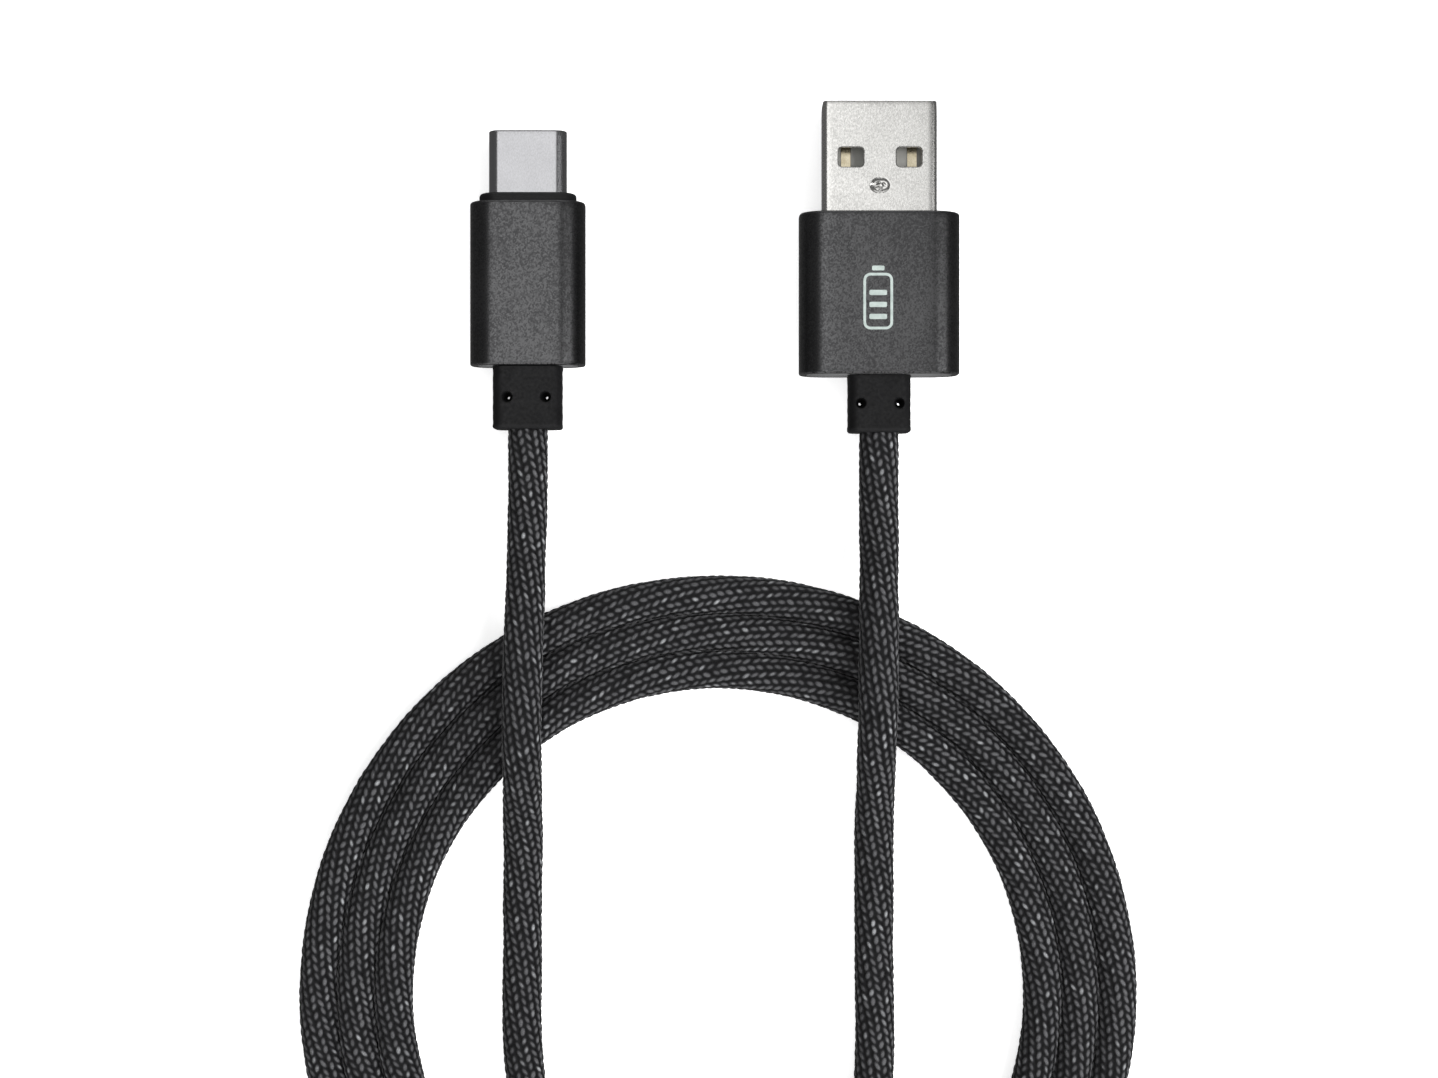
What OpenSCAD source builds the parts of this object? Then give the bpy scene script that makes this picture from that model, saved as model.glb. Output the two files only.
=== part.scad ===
// Braided charging cable: a USB-A plug and a USB-C plug on one cord, the cord wound in a flat ring.
// Units are millimetres. +Z is up and the cable lies on the plane z = 0. The plugs point along +Y.

/* [USB-A plug] */
// Width of the USB-A shell
a_shell_w = 12; // [10:0.1:13]
// Thickness of the USB-A shell
a_shell_h = 4.5; // [4.3:0.1:5]
// Length of the shell that stands out of the sleeve
a_shell_out = 11.7; // [11.5:0.1:14]
// Sheet thickness of the USB-A shell
a_shell_wall = 0.3; // [0.25:0.01:0.36]
// Length of a window along the plug
a_window_len = 2.05; // [1.7:0.05:2.5]
// Width of a window
a_window_w = 2.65; // [2:0.05:3.2]
// Distance between the centres of the two windows
a_window_gap = 6.1; // [5.2:0.1:6.6]
// Distance from the tip to the near edge of a window
a_window_from_tip = 4.9; // [4:0.1:5.8]
// Width of the USB-A sleeve
a_sleeve_w = 16.9; // [15.8:0.1:20.5]
// Height of the USB-A sleeve
a_sleeve_h = 7.6; // [7:0.1:9.2]
// Length of the USB-A sleeve
a_sleeve_len = 17; // [15:0.1:21]

/* [USB-C plug] */
// Width of the USB-C shell
c_shell_w = 8.25; // [8.1:0.05:8.6]
// Thickness of the USB-C shell
c_shell_h = 2.4; // [2.35:0.05:2.5]
// Length of the shell that stands out of the collar
c_shell_out = 6.65; // [5.6:0.05:8]
// Wall of the USB-C shell
c_shell_wall = 0.25; // [0.2:0.01:0.3]
// Length of the collar that shows in front of the sleeve
c_collar_out = 0.95; // [0.7:0.05:1.3]
// Width of the USB-C sleeve
c_sleeve_w = 12.2; // [11.8:0.1:14.8]
// Height of the USB-C sleeve
c_sleeve_h = 6.2; // [6:0.1:7.6]
// Length of the USB-C sleeve
c_sleeve_len = 17.3; // [14.4:0.1:21]

/* [Sleeves and strain reliefs] */
// Wall of both aluminium sleeves
sleeve_wall = 0.72; // [0.6:0.01:0.86]
// Width of the USB-A strain relief
a_relief_w = 6.6; // [6.2:0.1:8]
// Length of the USB-A strain relief behind the sleeve
a_relief_len = 6.1; // [5:0.1:7.4]
// Width of the USB-C strain relief
c_relief_w = 7.3; // [6.4:0.1:8.2]
// Length of the USB-C strain relief behind the sleeve
c_relief_len = 6.7; // [5.5:0.1:8.1]
// Thickness of both strain reliefs
relief_h = 5; // [4.6:0.1:5.4]
// Diameter of the holes through the strain reliefs
relief_hole_d = 1.1; // [0.9:0.05:1.3]

/* [Cord] */
// Diameter over the braid
cord_d = 4.1; // [3.4:0.1:4.2]
// Diameter of the inner jacket under the braid
jacket_d = 2.8; // [2.3:0.1:2.8]
// Diameter of one insulated wire of the USB-A end
a_wire_d = 0.9; // [0.7:0.05:1]
// Diameter of one insulated wire of the USB-C end
c_wire_d = 0.7; // [0.5:0.05:0.8]

/* [Hidden] */
$fn = 48;

// Room left between pieces that are pushed together
fit = 0.05;
// Overlap that makes a cut pass clean through a face
cut = 0.5;

// Axes of the two plugs, and where the cord enters them
a_x = 17.4;
a_rear_y = -17.4;
a_z = a_sleeve_h / 2;
c_x = -19.75;
c_rear_y = -17;
c_z = c_sleeve_h / 2;

// Pieces common to both plugs
plate_t = 0.8;          // end plate
flange_t = 0.9;         // hidden flange of a strain relief
neck_inset = 0.6;       // how far a strain relief's neck is set in from its boot, all round
flange_lip = 0.4;       // how far the flange stands out round the neck
relief_r = 1.2;         // corner radius of a strain relief
contact_t = 0.2;        // USB-A contact sheet
can_wall = 0.3;         // rear shield sheet
crimp_wall = 0.35;      // crimp ring on the jacket
crimp_len = 2;
hole_clear = 0.03;      // from a strain-relief hole to the jacket
wire_gap = 0.03;        // between a wire and what lies beside it
wire_sides = 8;
cord_sides = 10;

// USB-A plug: distances behind the tip
a_sleeve_front = a_shell_out;
a_sleeve_rear = a_sleeve_front + a_sleeve_len;
a_end = a_sleeve_rear + a_relief_len;
a_plate_front = a_sleeve_rear - plate_t;
a_flange_front = a_plate_front - fit - flange_t;
a_mould_rear = a_flange_front - fit;
a_tongue_front = 0.6;
a_block_front = 9.2;
a_block_rear = 14.5;
a_tail_rear = a_block_rear + 2.5;
a_shell_rear = a_sleeve_front + 6.8;
a_can_front = a_sleeve_front + 4.3;
a_can_rear = a_shell_rear + 3.9;
a_can_w = a_shell_w + 2 * (fit + can_wall);
a_can_h = a_shell_h + 2 * (fit + can_wall);
a_jacket_front = a_can_rear - 1.3;
a_wire_front = a_block_rear + 0.6;
a_cavity_w = a_shell_w - 2 * a_shell_wall;
a_cavity_h = a_shell_h - 2 * a_shell_wall;
a_core_w = a_sleeve_w - 2 * (sleeve_wall + fit);
a_core_h = a_sleeve_h - 2 * (sleeve_wall + fit);
a_shell_r = 0.6;
a_sleeve_r = 3.05;
a_core_r = a_sleeve_r - sleeve_wall - fit;
a_contact_w = 1;
a_contact_x = [-3.5, -1, 1, 3.5];
a_contact_lead = [1, 2, 2, 1];  // how far each contact starts behind the tongue's front
a_contact_proud = 0.05;         // how far the contacts stand above the tongue
a_dimple_from_tip = 8.9;
a_dimple_w = 2;
a_dimple_len = 1.5;
a_dimple_deep = 0.15;

// USB-C plug: distances behind the tip
c_sleeve_front = c_shell_out + c_collar_out;
c_sleeve_rear = c_sleeve_front + c_sleeve_len;
c_end = c_sleeve_rear + c_relief_len;
c_plate_front = c_sleeve_rear - plate_t;
c_flange_front = c_plate_front - fit - flange_t;
c_mould_rear = c_flange_front - fit;
c_collar_rear = c_sleeve_front + 1;
c_can_front = c_collar_rear + fit;
c_shell_rear = c_can_front + 1;
c_block_front = 0.15;
c_block_rear = c_can_front - 0.7;
c_latch_rear = c_block_rear + 0.5;
c_board_front = c_latch_rear + 0.2;
c_board_len = 5.3;
c_board_rear = c_board_front + c_board_len;
c_can_rear = c_board_rear + 3.3;
c_jacket_front = c_can_rear - 1;
c_wire_front = c_board_rear - 1;
c_tail_rear = c_board_front + 0.8;
c_cavity_w = c_shell_w - 2 * c_shell_wall;
c_cavity_h = c_shell_h - 2 * c_shell_wall;
c_block_w = c_cavity_w - 2 * fit;
c_block_h = c_cavity_h - 2 * fit;
c_core_w = c_sleeve_w - 2 * (sleeve_wall + fit);
c_core_h = c_sleeve_h - 2 * (sleeve_wall + fit);
c_can_w = c_shell_w + 2 * 0.525;
c_can_h = c_shell_h + 2 * 0.8;
c_can_r = 1.2;
c_sleeve_r = 2.85;
c_core_r = c_sleeve_r - sleeve_wall - fit;
c_collar_w = c_shell_w + 2 * 1.025;
c_collar_h = c_shell_h + 2 * 0.95;
c_tongue_w = 6.5;       // slot for the port's tongue
c_tongue_h = 0.8;
c_contact_w = 0.25;
c_contact_t = 0.15;
c_contact_pitch = 0.5;
c_top_places = [0, 3, 4, 5, 6, 8, 11];
c_bottom_places = [0, 3, 8, 11];
c_board_w = 7.2;
c_latch_t = 0.3;
c_latch_w = 0.3;        // width of a latch arm
c_spring_w = 5.2;
c_spring_len = 1.6;
c_spring_t = 0.12;
c_spring_front = 0.8;
c_pad_x = [-2.7, -0.8, 0.8, 2.7];

// Ring of cord, seen from above
ring_x = 0.4;
ring_y = -77;
turn_r = 34.55;         // centreline of the inner turn
turn_squeeze = 0.15;    // how much neighbouring turns press together
turn_step = cord_d - turn_squeeze;
turns = 3;

// Centreline of the flexing stretch behind each plug, from the strain relief to the fixed lead
a_flex_points = [
    [a_x, a_rear_y, a_z], [a_x, a_rear_y - 3.6, a_z], [17.4, -26, 3.7], [17.4, -31, 4.4]
];
c_flex_points = [
    [c_x, c_rear_y, c_z], [c_x, c_rear_y - 4, c_z], [-19.8, -26, 3.1], [-19.9, -31, 3.8]
];

// Centreline of the lead that goes over the top of the ring, round inside it, over its lower side and
// on to the outer turn
a_lead_points = [
    [17.3, -34, 5.3], [17.3, -37.5, 6.25], [17.2, -42.5, 6.6], [17.2, -47, 6.3],
    [17.1, -50.5, 5.2], [17.1, -54.5, 3.5], [17, -59, 2.4], [17, -64, 2.1], [17, -74, 2.1],
    [17, -85, 2.1], [16, -92.3, 2.2], [14.3, -97, 3], [11.9, -101.2, 4.4], [8.7, -105, 5.7],
    [4.9, -108.2, 6.25], [0.7, -110.6, 6.25], [-6.4, -112.9, 6.25], [-13.8, -113.2, 6.25],
    [-21, -111.6, 6.1], [-25.4, -109.5, 5.2], [-29.5, -106.7, 3.6], [-32.5, -103.8, 2.4]
];

// Centreline of the lead that goes over the top of the ring and round inside it to the inner turn
c_lead_points = [
    [-19.9, -35, 5.1], [-20, -39, 6.2], [-20.1, -44.5, 6.6], [-20.2, -49.5, 6.3],
    [-20.2, -53, 5.2], [-20.3, -57, 3.5], [-20.3, -61.5, 2.4], [-20.4, -66, 2.1], [-20.4, -73, 2.1],
    [-20.4, -82, 2.1], [-18.8, -91.2, 2.1], [-14.1, -99.2, 2.1], [-7, -105.2, 2.1],
    [1.7, -108.4, 2.1], [11.1, -108.4, 2.1], [19.8, -105.2, 2.1], [23.6, -102.5, 2.1]
];

// Whole route of each end of the cord, from its strain relief to the ring
a_route = concat(a_flex_points, a_lead_points);
c_route = concat(c_flex_points, c_lead_points);
flex_last = len(a_flex_points) - 1;

function unit(v) = v / norm(v);

// Direction of a route at point i: along the chord between its neighbours
function heading(p, i) = unit(p[min(i + 1, len(p) - 1)] - p[max(i - 1, 0)]);

// One ring of a round tube at point i, square to the route, with its first point to the side
function ring(p, i, r, sides) =
    let (t = heading(p, i), side = unit(cross(t, [0, 0, 1])), top = cross(side, t))
    [for (k = [0:sides - 1]) p[i] + r * (cos(360 * k / sides) * side + sin(360 * k / sides) * top)];

// Round tube of radius r swept along the route p from its point from to its point to, closed at both
// ends
module tube(p, r, sides, from, to) {
    n = to - from + 1;
    corners = [for (i = [from:to]) each ring(p, i, r, sides)];
    walls = [
        for (i = [0:n - 2], k = [0:sides - 1])
            let (k2 = (k + 1) % sides)
            [i * sides + k, (i + 1) * sides + k, (i + 1) * sides + k2, i * sides + k2]
    ];
    first = [for (k = [0:sides - 1]) k];
    last = [for (k = [sides - 1:-1:0]) (n - 1) * sides + k];
    polyhedron(points = corners, faces = concat(walls, [first, last]), convexity = 6);
}

// Rectangle with round corners, centred on the origin
module round_rect(w, h, r) {
    rr = min(r, w / 2, h / 2 - 0.001);
    square([w, h - 2 * rr], center = true);
    square([w - 2 * rr, h], center = true);
    for (x = [-1, 1], y = [-1, 1])
        translate([x * (w / 2 - rr), y * (h / 2 - rr)]) circle(rr);
}

// Profile carried from a to b behind the tip; the profile's x is to the side and its y is up
module behind_tip(a, b) {
    translate([0, -a, 0]) rotate([90, 0, 0]) linear_extrude(b - a) children();
}

// Round bar along the plug's axis from a to b behind the tip
module bar(a, b, d) {
    behind_tip(a, b) circle(d = d);
}

module at_usb_a() {
    translate([a_x, a_rear_y + a_end, a_z]) children();
}

module at_usb_c() {
    translate([c_x, c_rear_y + c_end, c_z]) children();
}

// Sleeve of either plug: an open tube with round corners
module sleeve(front, rear, w, h, r) {
    difference() {
        behind_tip(front, rear) round_rect(w, h, r);
        behind_tip(front - cut, rear + cut)
            round_rect(w - 2 * sleeve_wall, h - 2 * sleeve_wall, r - sleeve_wall);
    }
}

// Section of a strain relief that is w wide, grown by grow all round
module relief_section(w, grow) {
    round_rect(w + 2 * grow, relief_h + 2 * grow, relief_r + grow);
}

// Plate that closes a sleeve's rear, with an opening for the strain relief's neck
module end_plate(front, rear, w, h, r, relief_w) {
    difference() {
        behind_tip(front, rear) round_rect(w, h, r);
        behind_tip(front - cut, rear + cut) relief_section(relief_w, fit - neck_inset);
    }
}

// Side distance of a strain relief's holes: just clear of the jacket
hole_x = (jacket_d + relief_hole_d) / 2 + hole_clear;

// Strain relief: boot, neck, hidden flange as high as the sleeve's bore, bore for the jacket and two
// holes through its thickness
module strain_relief(flange_front, sleeve_rear, end, w, bore_h) {
    hole_at = sleeve_rear + (end - sleeve_rear) * 0.5;
    difference() {
        union() {
            behind_tip(sleeve_rear, end) relief_section(w, 0);
            behind_tip(flange_front, sleeve_rear + cut) relief_section(w, -neck_inset);
            behind_tip(flange_front, flange_front + flange_t)
                round_rect(w + 2 * (flange_lip - neck_inset), bore_h - 2 * fit, relief_r);
        }
        bar(flange_front - cut, end + cut, jacket_d + 2 * fit);
        for (x = [-hole_x - fit, hole_x + fit])
            translate([x, -hole_at, 0]) cylinder(d = relief_hole_d, h = relief_h + 2 * cut, center = true);
    }
}

// Metal can behind a shell: front wall with a window for the shell, rear wall and a crimp ring
module rear_shield(front, rear, w, h, r, front_wall) {
    difference() {
        union() {
            behind_tip(front, rear) round_rect(w, h, r);
            bar(rear - cut, rear + crimp_len, jacket_d + 2 * (fit + crimp_wall));
        }
        behind_tip(front + front_wall, rear - can_wall)
            round_rect(w - 2 * can_wall, h - 2 * can_wall, max(r - can_wall, 0.1));
        bar(rear - 2 * can_wall, rear + crimp_len + cut, jacket_d + 2 * fit);
        behind_tip(front - cut, front + front_wall + cut / 2) children();
    }
}

// Route of one insulated wire: straight off its solder point, then in to its place in the bundle
function wire_points(from, to, x, z, tx, tz) = [
    [x, -from, z],
    [x, -(from * 0.75 + to * 0.25), z],
    [x * 0.65 + tx * 0.35, -(from * 0.45 + to * 0.55), z * 0.65 + tz * 0.35],
    [tx, -(from * 0.1 + to * 0.9), tz],
    [tx, -to, tz]
];

// Place of wire number i in the bundle at the jacket's front
function bundle_x(i, d) = (i < 2 ? -1 : 1) * (d / 2 + 2 * wire_gap);
function bundle_z(i, d) = ((i == 0 || i == 3) ? 1 : -1) * (d / 2 + 2 * wire_gap);

// One insulated wire from its solder point to its place in the bundle
module wire(from, to, x, z, tx, tz, d) {
    p = wire_points(from, to, x, z, tx, tz);
    tube(p, d / 2, wire_sides, 0, len(p) - 1);
}

module a_wire(i) {
    at_usb_a() wire(a_wire_front, a_jacket_front, a_contact_x[i], a_contact_proud + a_wire_d / 2 + wire_gap,
        bundle_x(i, a_wire_d), bundle_z(i, a_wire_d), a_wire_d);
}

module c_wire(i) {
    at_usb_c() wire(c_wire_front, c_jacket_front, c_pad_x[i], c_tongue_h / 2 + c_wire_d / 2 + wire_gap,
        bundle_x(i, c_wire_d), bundle_z(i, c_wire_d), c_wire_d);
}

// One USB-A contact, widened by grow on every side for the slot it lies in
module a_contact_bar(i, grow = 0) {
    start = a_tongue_front + a_contact_lead[i] - (grow > 0 ? fit : 0);
    behind_tip(start, grow > 0 ? a_block_rear + cut : a_tail_rear)
        translate([a_contact_x[i] - a_contact_w / 2 - grow, a_contact_proud - contact_t - grow])
            square([a_contact_w + 2 * grow, contact_t + 2 * grow]);
}

// One row of USB-C contacts; up is 1 for the upper row and -1 for the lower row
module c_contact_row(places, up, grow = 0) {
    for (i = places)
        behind_tip(c_block_front + (grow > 0 ? 0.6 : 0.7), grow > 0 ? c_block_rear + cut : c_tail_rear)
            translate([
                (i - 5.5) * c_contact_pitch - c_contact_w / 2 - grow,
                up > 0 ? c_tongue_h / 2 - grow : -c_tongue_h / 2 - c_contact_t - grow
            ])
                square([c_contact_w + 2 * grow, c_contact_t + 2 * grow]);
}

module usb_a_shell() {
    color("#d8d8d6") at_usb_a() difference() {
        behind_tip(0, a_shell_rear) round_rect(a_shell_w, a_shell_h, a_shell_r);
        behind_tip(-cut, a_shell_rear + cut)
            round_rect(a_cavity_w, a_cavity_h, a_shell_r - a_shell_wall);
        for (x = [-a_window_gap / 2, a_window_gap / 2])
            translate([x, -a_window_from_tip - a_window_len / 2, -a_shell_h])
                linear_extrude(2 * a_shell_h) round_rect(a_window_w, a_window_len, 0.35);
        translate([0, -a_dimple_from_tip, a_shell_h / 2 - a_dimple_deep])
            linear_extrude(cut) round_rect(a_dimple_w, a_dimple_len, a_dimple_len / 2);
    }
}

// Section that fills the inside of the USB-A shell
module a_block_section() {
    round_rect(a_cavity_w - 2 * fit, a_cavity_h - 2 * fit, a_shell_r - a_shell_wall);
}

module usb_a_insulator() {
    color("#e9e6dc") at_usb_a() difference() {
        union() {
            behind_tip(a_tongue_front, a_block_rear) intersection() {
                a_block_section();
                translate([-a_cavity_w / 2, -a_cavity_h]) square([a_cavity_w, a_cavity_h]);
            }
            behind_tip(a_block_front, a_block_rear) a_block_section();
        }
        for (i = [0:3]) a_contact_bar(i, fit);
    }
}

module usb_a_contact_power() {
    color("#c8a24c") at_usb_a() a_contact_bar(0);
}

module usb_a_contact_data_minus() {
    color("#c8a24c") at_usb_a() a_contact_bar(1);
}

module usb_a_contact_data_plus() {
    color("#c8a24c") at_usb_a() a_contact_bar(2);
}

module usb_a_contact_ground() {
    color("#c8a24c") at_usb_a() a_contact_bar(3);
}

module usb_a_rear_shield() {
    color("#b9bbbb") at_usb_a()
        rear_shield(a_can_front, a_can_rear, a_can_w, a_can_h, a_shell_r + can_wall, can_wall)
            round_rect(a_shell_w + 2 * fit, a_shell_h + 2 * fit, a_shell_r);
}

module usb_a_inner_mould() {
    color("#1d1e1f") at_usb_a() difference() {
        behind_tip(a_sleeve_front + 0.1, a_mould_rear)
            round_rect(a_core_w, a_core_h, a_core_r);
        behind_tip(a_sleeve_front - cut, a_can_front)
            round_rect(a_shell_w + 2 * fit, a_shell_h + 2 * fit, a_shell_r);
        behind_tip(a_can_front - fit, a_can_rear + fit)
            round_rect(a_can_w + 2 * fit, a_can_h + 2 * fit, a_shell_r + can_wall);
        bar(a_can_rear, a_can_rear + crimp_len + fit, jacket_d + 2 * (2 * fit + crimp_wall));
        bar(a_can_rear, a_mould_rear + cut, jacket_d + 2 * fit);
    }
}

module usb_a_sleeve() {
    color("#3c3e40") at_usb_a() sleeve(a_sleeve_front, a_sleeve_rear, a_sleeve_w, a_sleeve_h, a_sleeve_r);
}

module usb_a_end_plate() {
    color("#2a2b2c") at_usb_a()
        end_plate(a_plate_front, a_sleeve_rear, a_core_w, a_core_h, a_core_r, a_relief_w);
}

module usb_a_strain_relief() {
    color("#1b1c1d") at_usb_a()
        strain_relief(a_flange_front, a_sleeve_rear, a_end, a_relief_w, a_core_h);
}

module usb_a_jacket_end() {
    color("#101112") at_usb_a() bar(a_jacket_front, a_end, jacket_d);
}

module usb_a_wire_power() {
    color("#b3262a") a_wire(0);
}

module usb_a_wire_data_minus() {
    color("#e8e8e6") a_wire(1);
}

module usb_a_wire_data_plus() {
    color("#2f8a46") a_wire(2);
}

module usb_a_wire_ground() {
    color("#17181a") a_wire(3);
}

module usb_c_shell() {
    color("#c9cacb") at_usb_c() difference() {
        behind_tip(0, c_shell_rear) round_rect(c_shell_w, c_shell_h, c_shell_h / 2);
        behind_tip(-cut, c_shell_rear + cut) round_rect(c_cavity_w, c_cavity_h, c_cavity_h / 2);
    }
}

module usb_c_insulator() {
    spring_z = c_block_h / 2 - c_spring_t - 2 * fit;
    color("#1a1a1b") at_usb_c() difference() {
        behind_tip(c_block_front, c_block_rear) round_rect(c_block_w, c_block_h, c_block_h / 2);
        behind_tip(-cut, c_block_rear - 1.2) square([c_tongue_w, c_tongue_h], center = true);
        c_contact_row(c_top_places, 1, fit / 2);
        c_contact_row(c_bottom_places, -1, fit / 2);
        for (z = [spring_z, -spring_z - cut])
            behind_tip(c_spring_front - fit, c_spring_front + c_spring_len + fit)
                translate([-c_spring_w / 2 - fit, z]) square([c_spring_w + 2 * fit, cut]);
        for (x = [-1, 1])
            behind_tip(c_block_front + 0.8, c_block_rear + cut)
                translate([x * (c_tongue_w / 2 + c_latch_w / 2), 0])
                    square([c_latch_w + 2 * fit, c_latch_t + 2 * fit], center = true);
    }
}

module usb_c_contacts_top() {
    color("#c8a24c") at_usb_c() c_contact_row(c_top_places, 1);
}

module usb_c_contacts_bottom() {
    color("#c8a24c") at_usb_c() c_contact_row(c_bottom_places, -1);
}

// Grounding spring: a strip in a pocket of the insulator, with two slots that free its fingers
module c_ground_spring(up) {
    z = up * (c_block_h / 2 - c_spring_t / 2 - fit / 2);
    difference() {
        behind_tip(c_spring_front, c_spring_front + c_spring_len)
            translate([0, z]) square([c_spring_w, c_spring_t], center = true);
        for (x = [-1.2, 1.2])
            behind_tip(c_spring_front - cut, c_spring_front + c_spring_len * 0.7)
                translate([x, z]) square([0.3, 1], center = true);
    }
}

module usb_c_ground_spring_top() {
    color("#bfc1c2") at_usb_c() c_ground_spring(1);
}

module usb_c_ground_spring_bottom() {
    color("#bfc1c2") at_usb_c() c_ground_spring(-1);
}

module usb_c_latch() {
    arm_x = c_tongue_w / 2 + c_latch_w / 2;
    color("#b5b7b8") at_usb_c() union() {
        for (x = [-arm_x, arm_x])
            behind_tip(c_block_front + 0.9, c_latch_rear)
                translate([x, 0]) square([c_latch_w, c_latch_t], center = true);
        behind_tip(c_block_rear + fit, c_latch_rear)
            square([2 * arm_x, c_latch_t], center = true);
    }
}

module usb_c_circuit_board() {
    color("#1f5f3a") at_usb_c() behind_tip(c_board_front, c_board_rear)
        square([c_board_w, c_tongue_h], center = true);
}

module usb_c_pull_up_resistor() {
    color("#222326") at_usb_c() translate([0, -c_board_front - 2.2, c_tongue_h / 2])
        translate([-0.5, -0.25, 0]) cube([1, 0.5, 0.35]);
}

module usb_c_rear_shield() {
    color("#b9bbbb") at_usb_c() rear_shield(c_can_front, c_can_rear, c_can_w, c_can_h, c_can_r, can_wall)
        round_rect(c_shell_w + 2 * fit, c_shell_h + 2 * fit, c_shell_h / 2);
}

module usb_c_collar() {
    color("#151617") at_usb_c() difference() {
        behind_tip(c_shell_out, c_collar_rear) round_rect(c_collar_w, c_collar_h, c_collar_h / 2 - 0.1);
        behind_tip(c_shell_out - cut, c_collar_rear + cut)
            round_rect(c_shell_w + 2 * fit, c_shell_h + 2 * fit, c_shell_h / 2);
    }
}

module usb_c_inner_mould() {
    color("#1d1e1f") at_usb_c() difference() {
        behind_tip(c_can_front, c_mould_rear) round_rect(c_core_w, c_core_h, c_core_r);
        behind_tip(c_can_front - cut, c_can_rear + fit)
            round_rect(c_can_w + 2 * fit, c_can_h + 2 * fit, c_can_r);
        bar(c_can_rear, c_can_rear + crimp_len + fit, jacket_d + 2 * (2 * fit + crimp_wall));
        bar(c_can_rear, c_mould_rear + cut, jacket_d + 2 * fit);
    }
}

module usb_c_sleeve() {
    color("#3c3e40") at_usb_c() sleeve(c_sleeve_front, c_sleeve_rear, c_sleeve_w, c_sleeve_h, c_sleeve_r);
}

module usb_c_end_plate() {
    color("#2a2b2c") at_usb_c()
        end_plate(c_plate_front, c_sleeve_rear, c_core_w, c_core_h, c_core_r, c_relief_w);
}

module usb_c_strain_relief() {
    color("#1b1c1d") at_usb_c()
        strain_relief(c_flange_front, c_sleeve_rear, c_end, c_relief_w, c_core_h);
}

module usb_c_jacket_end() {
    color("#101112") at_usb_c() bar(c_jacket_front, c_end, jacket_d);
}

module usb_c_wire_power() {
    color("#b3262a") c_wire(0);
}

module usb_c_wire_data_minus() {
    color("#e8e8e6") c_wire(1);
}

module usb_c_wire_data_plus() {
    color("#2f8a46") c_wire(2);
}

module usb_c_wire_ground() {
    color("#17181a") c_wire(3);
}

// The ring's turns lie side by side: one flat band with round edges holds them
module cord_coil() {
    band_w = (turns - 1) * turn_step + cord_d;
    color("#2f3031") translate([ring_x, ring_y, cord_d / 2])
        rotate_extrude($fn = 96)
            translate([turn_r + (turns - 1) * turn_step / 2, 0]) {
                square([band_w - cord_d, cord_d], center = true);
                for (x = [-1, 1]) translate([x * (band_w - cord_d) / 2, 0]) circle(d = cord_d);
            }
}

module usb_a_lead() {
    color("#2f3031") tube(a_route, cord_d / 2, cord_sides, flex_last, len(a_route) - 1);
}

module usb_c_lead() {
    color("#2f3031") tube(c_route, cord_d / 2, cord_sides, flex_last, len(c_route) - 1);
}

module usb_a_flex_lead() {
    color("#2f3031") tube(a_route, cord_d / 2, cord_sides, 0, flex_last);
}

module usb_c_flex_lead() {
    color("#2f3031") tube(c_route, cord_d / 2, cord_sides, 0, flex_last);
}

usb_a_shell();
usb_a_insulator();
usb_a_contact_power();
usb_a_contact_data_minus();
usb_a_contact_data_plus();
usb_a_contact_ground();
usb_a_rear_shield();
usb_a_inner_mould();
usb_a_sleeve();
usb_a_end_plate();
usb_a_strain_relief();
usb_a_jacket_end();
usb_a_wire_power();
usb_a_wire_data_minus();
usb_a_wire_data_plus();
usb_a_wire_ground();
usb_c_shell();
usb_c_insulator();
usb_c_contacts_top();
usb_c_contacts_bottom();
usb_c_ground_spring_top();
usb_c_ground_spring_bottom();
usb_c_latch();
usb_c_circuit_board();
usb_c_pull_up_resistor();
usb_c_rear_shield();
usb_c_collar();
usb_c_inner_mould();
usb_c_sleeve();
usb_c_end_plate();
usb_c_strain_relief();
usb_c_jacket_end();
usb_c_wire_power();
usb_c_wire_data_minus();
usb_c_wire_data_plus();
usb_c_wire_ground();
cord_coil();
usb_a_lead();
usb_c_lead();
usb_a_flex_lead();
usb_c_flex_lead();
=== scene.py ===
"""A charging cable: one braided cord wound in a flat ring, with a USB-A plug and a USB-C plug on its ends.

Lengths inside the classes are in millimetres, as a cable maker writes them. Each mesh is made in metres.
"""

import logging
import math
from dataclasses import dataclass, field, replace
from enum import Enum

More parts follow.
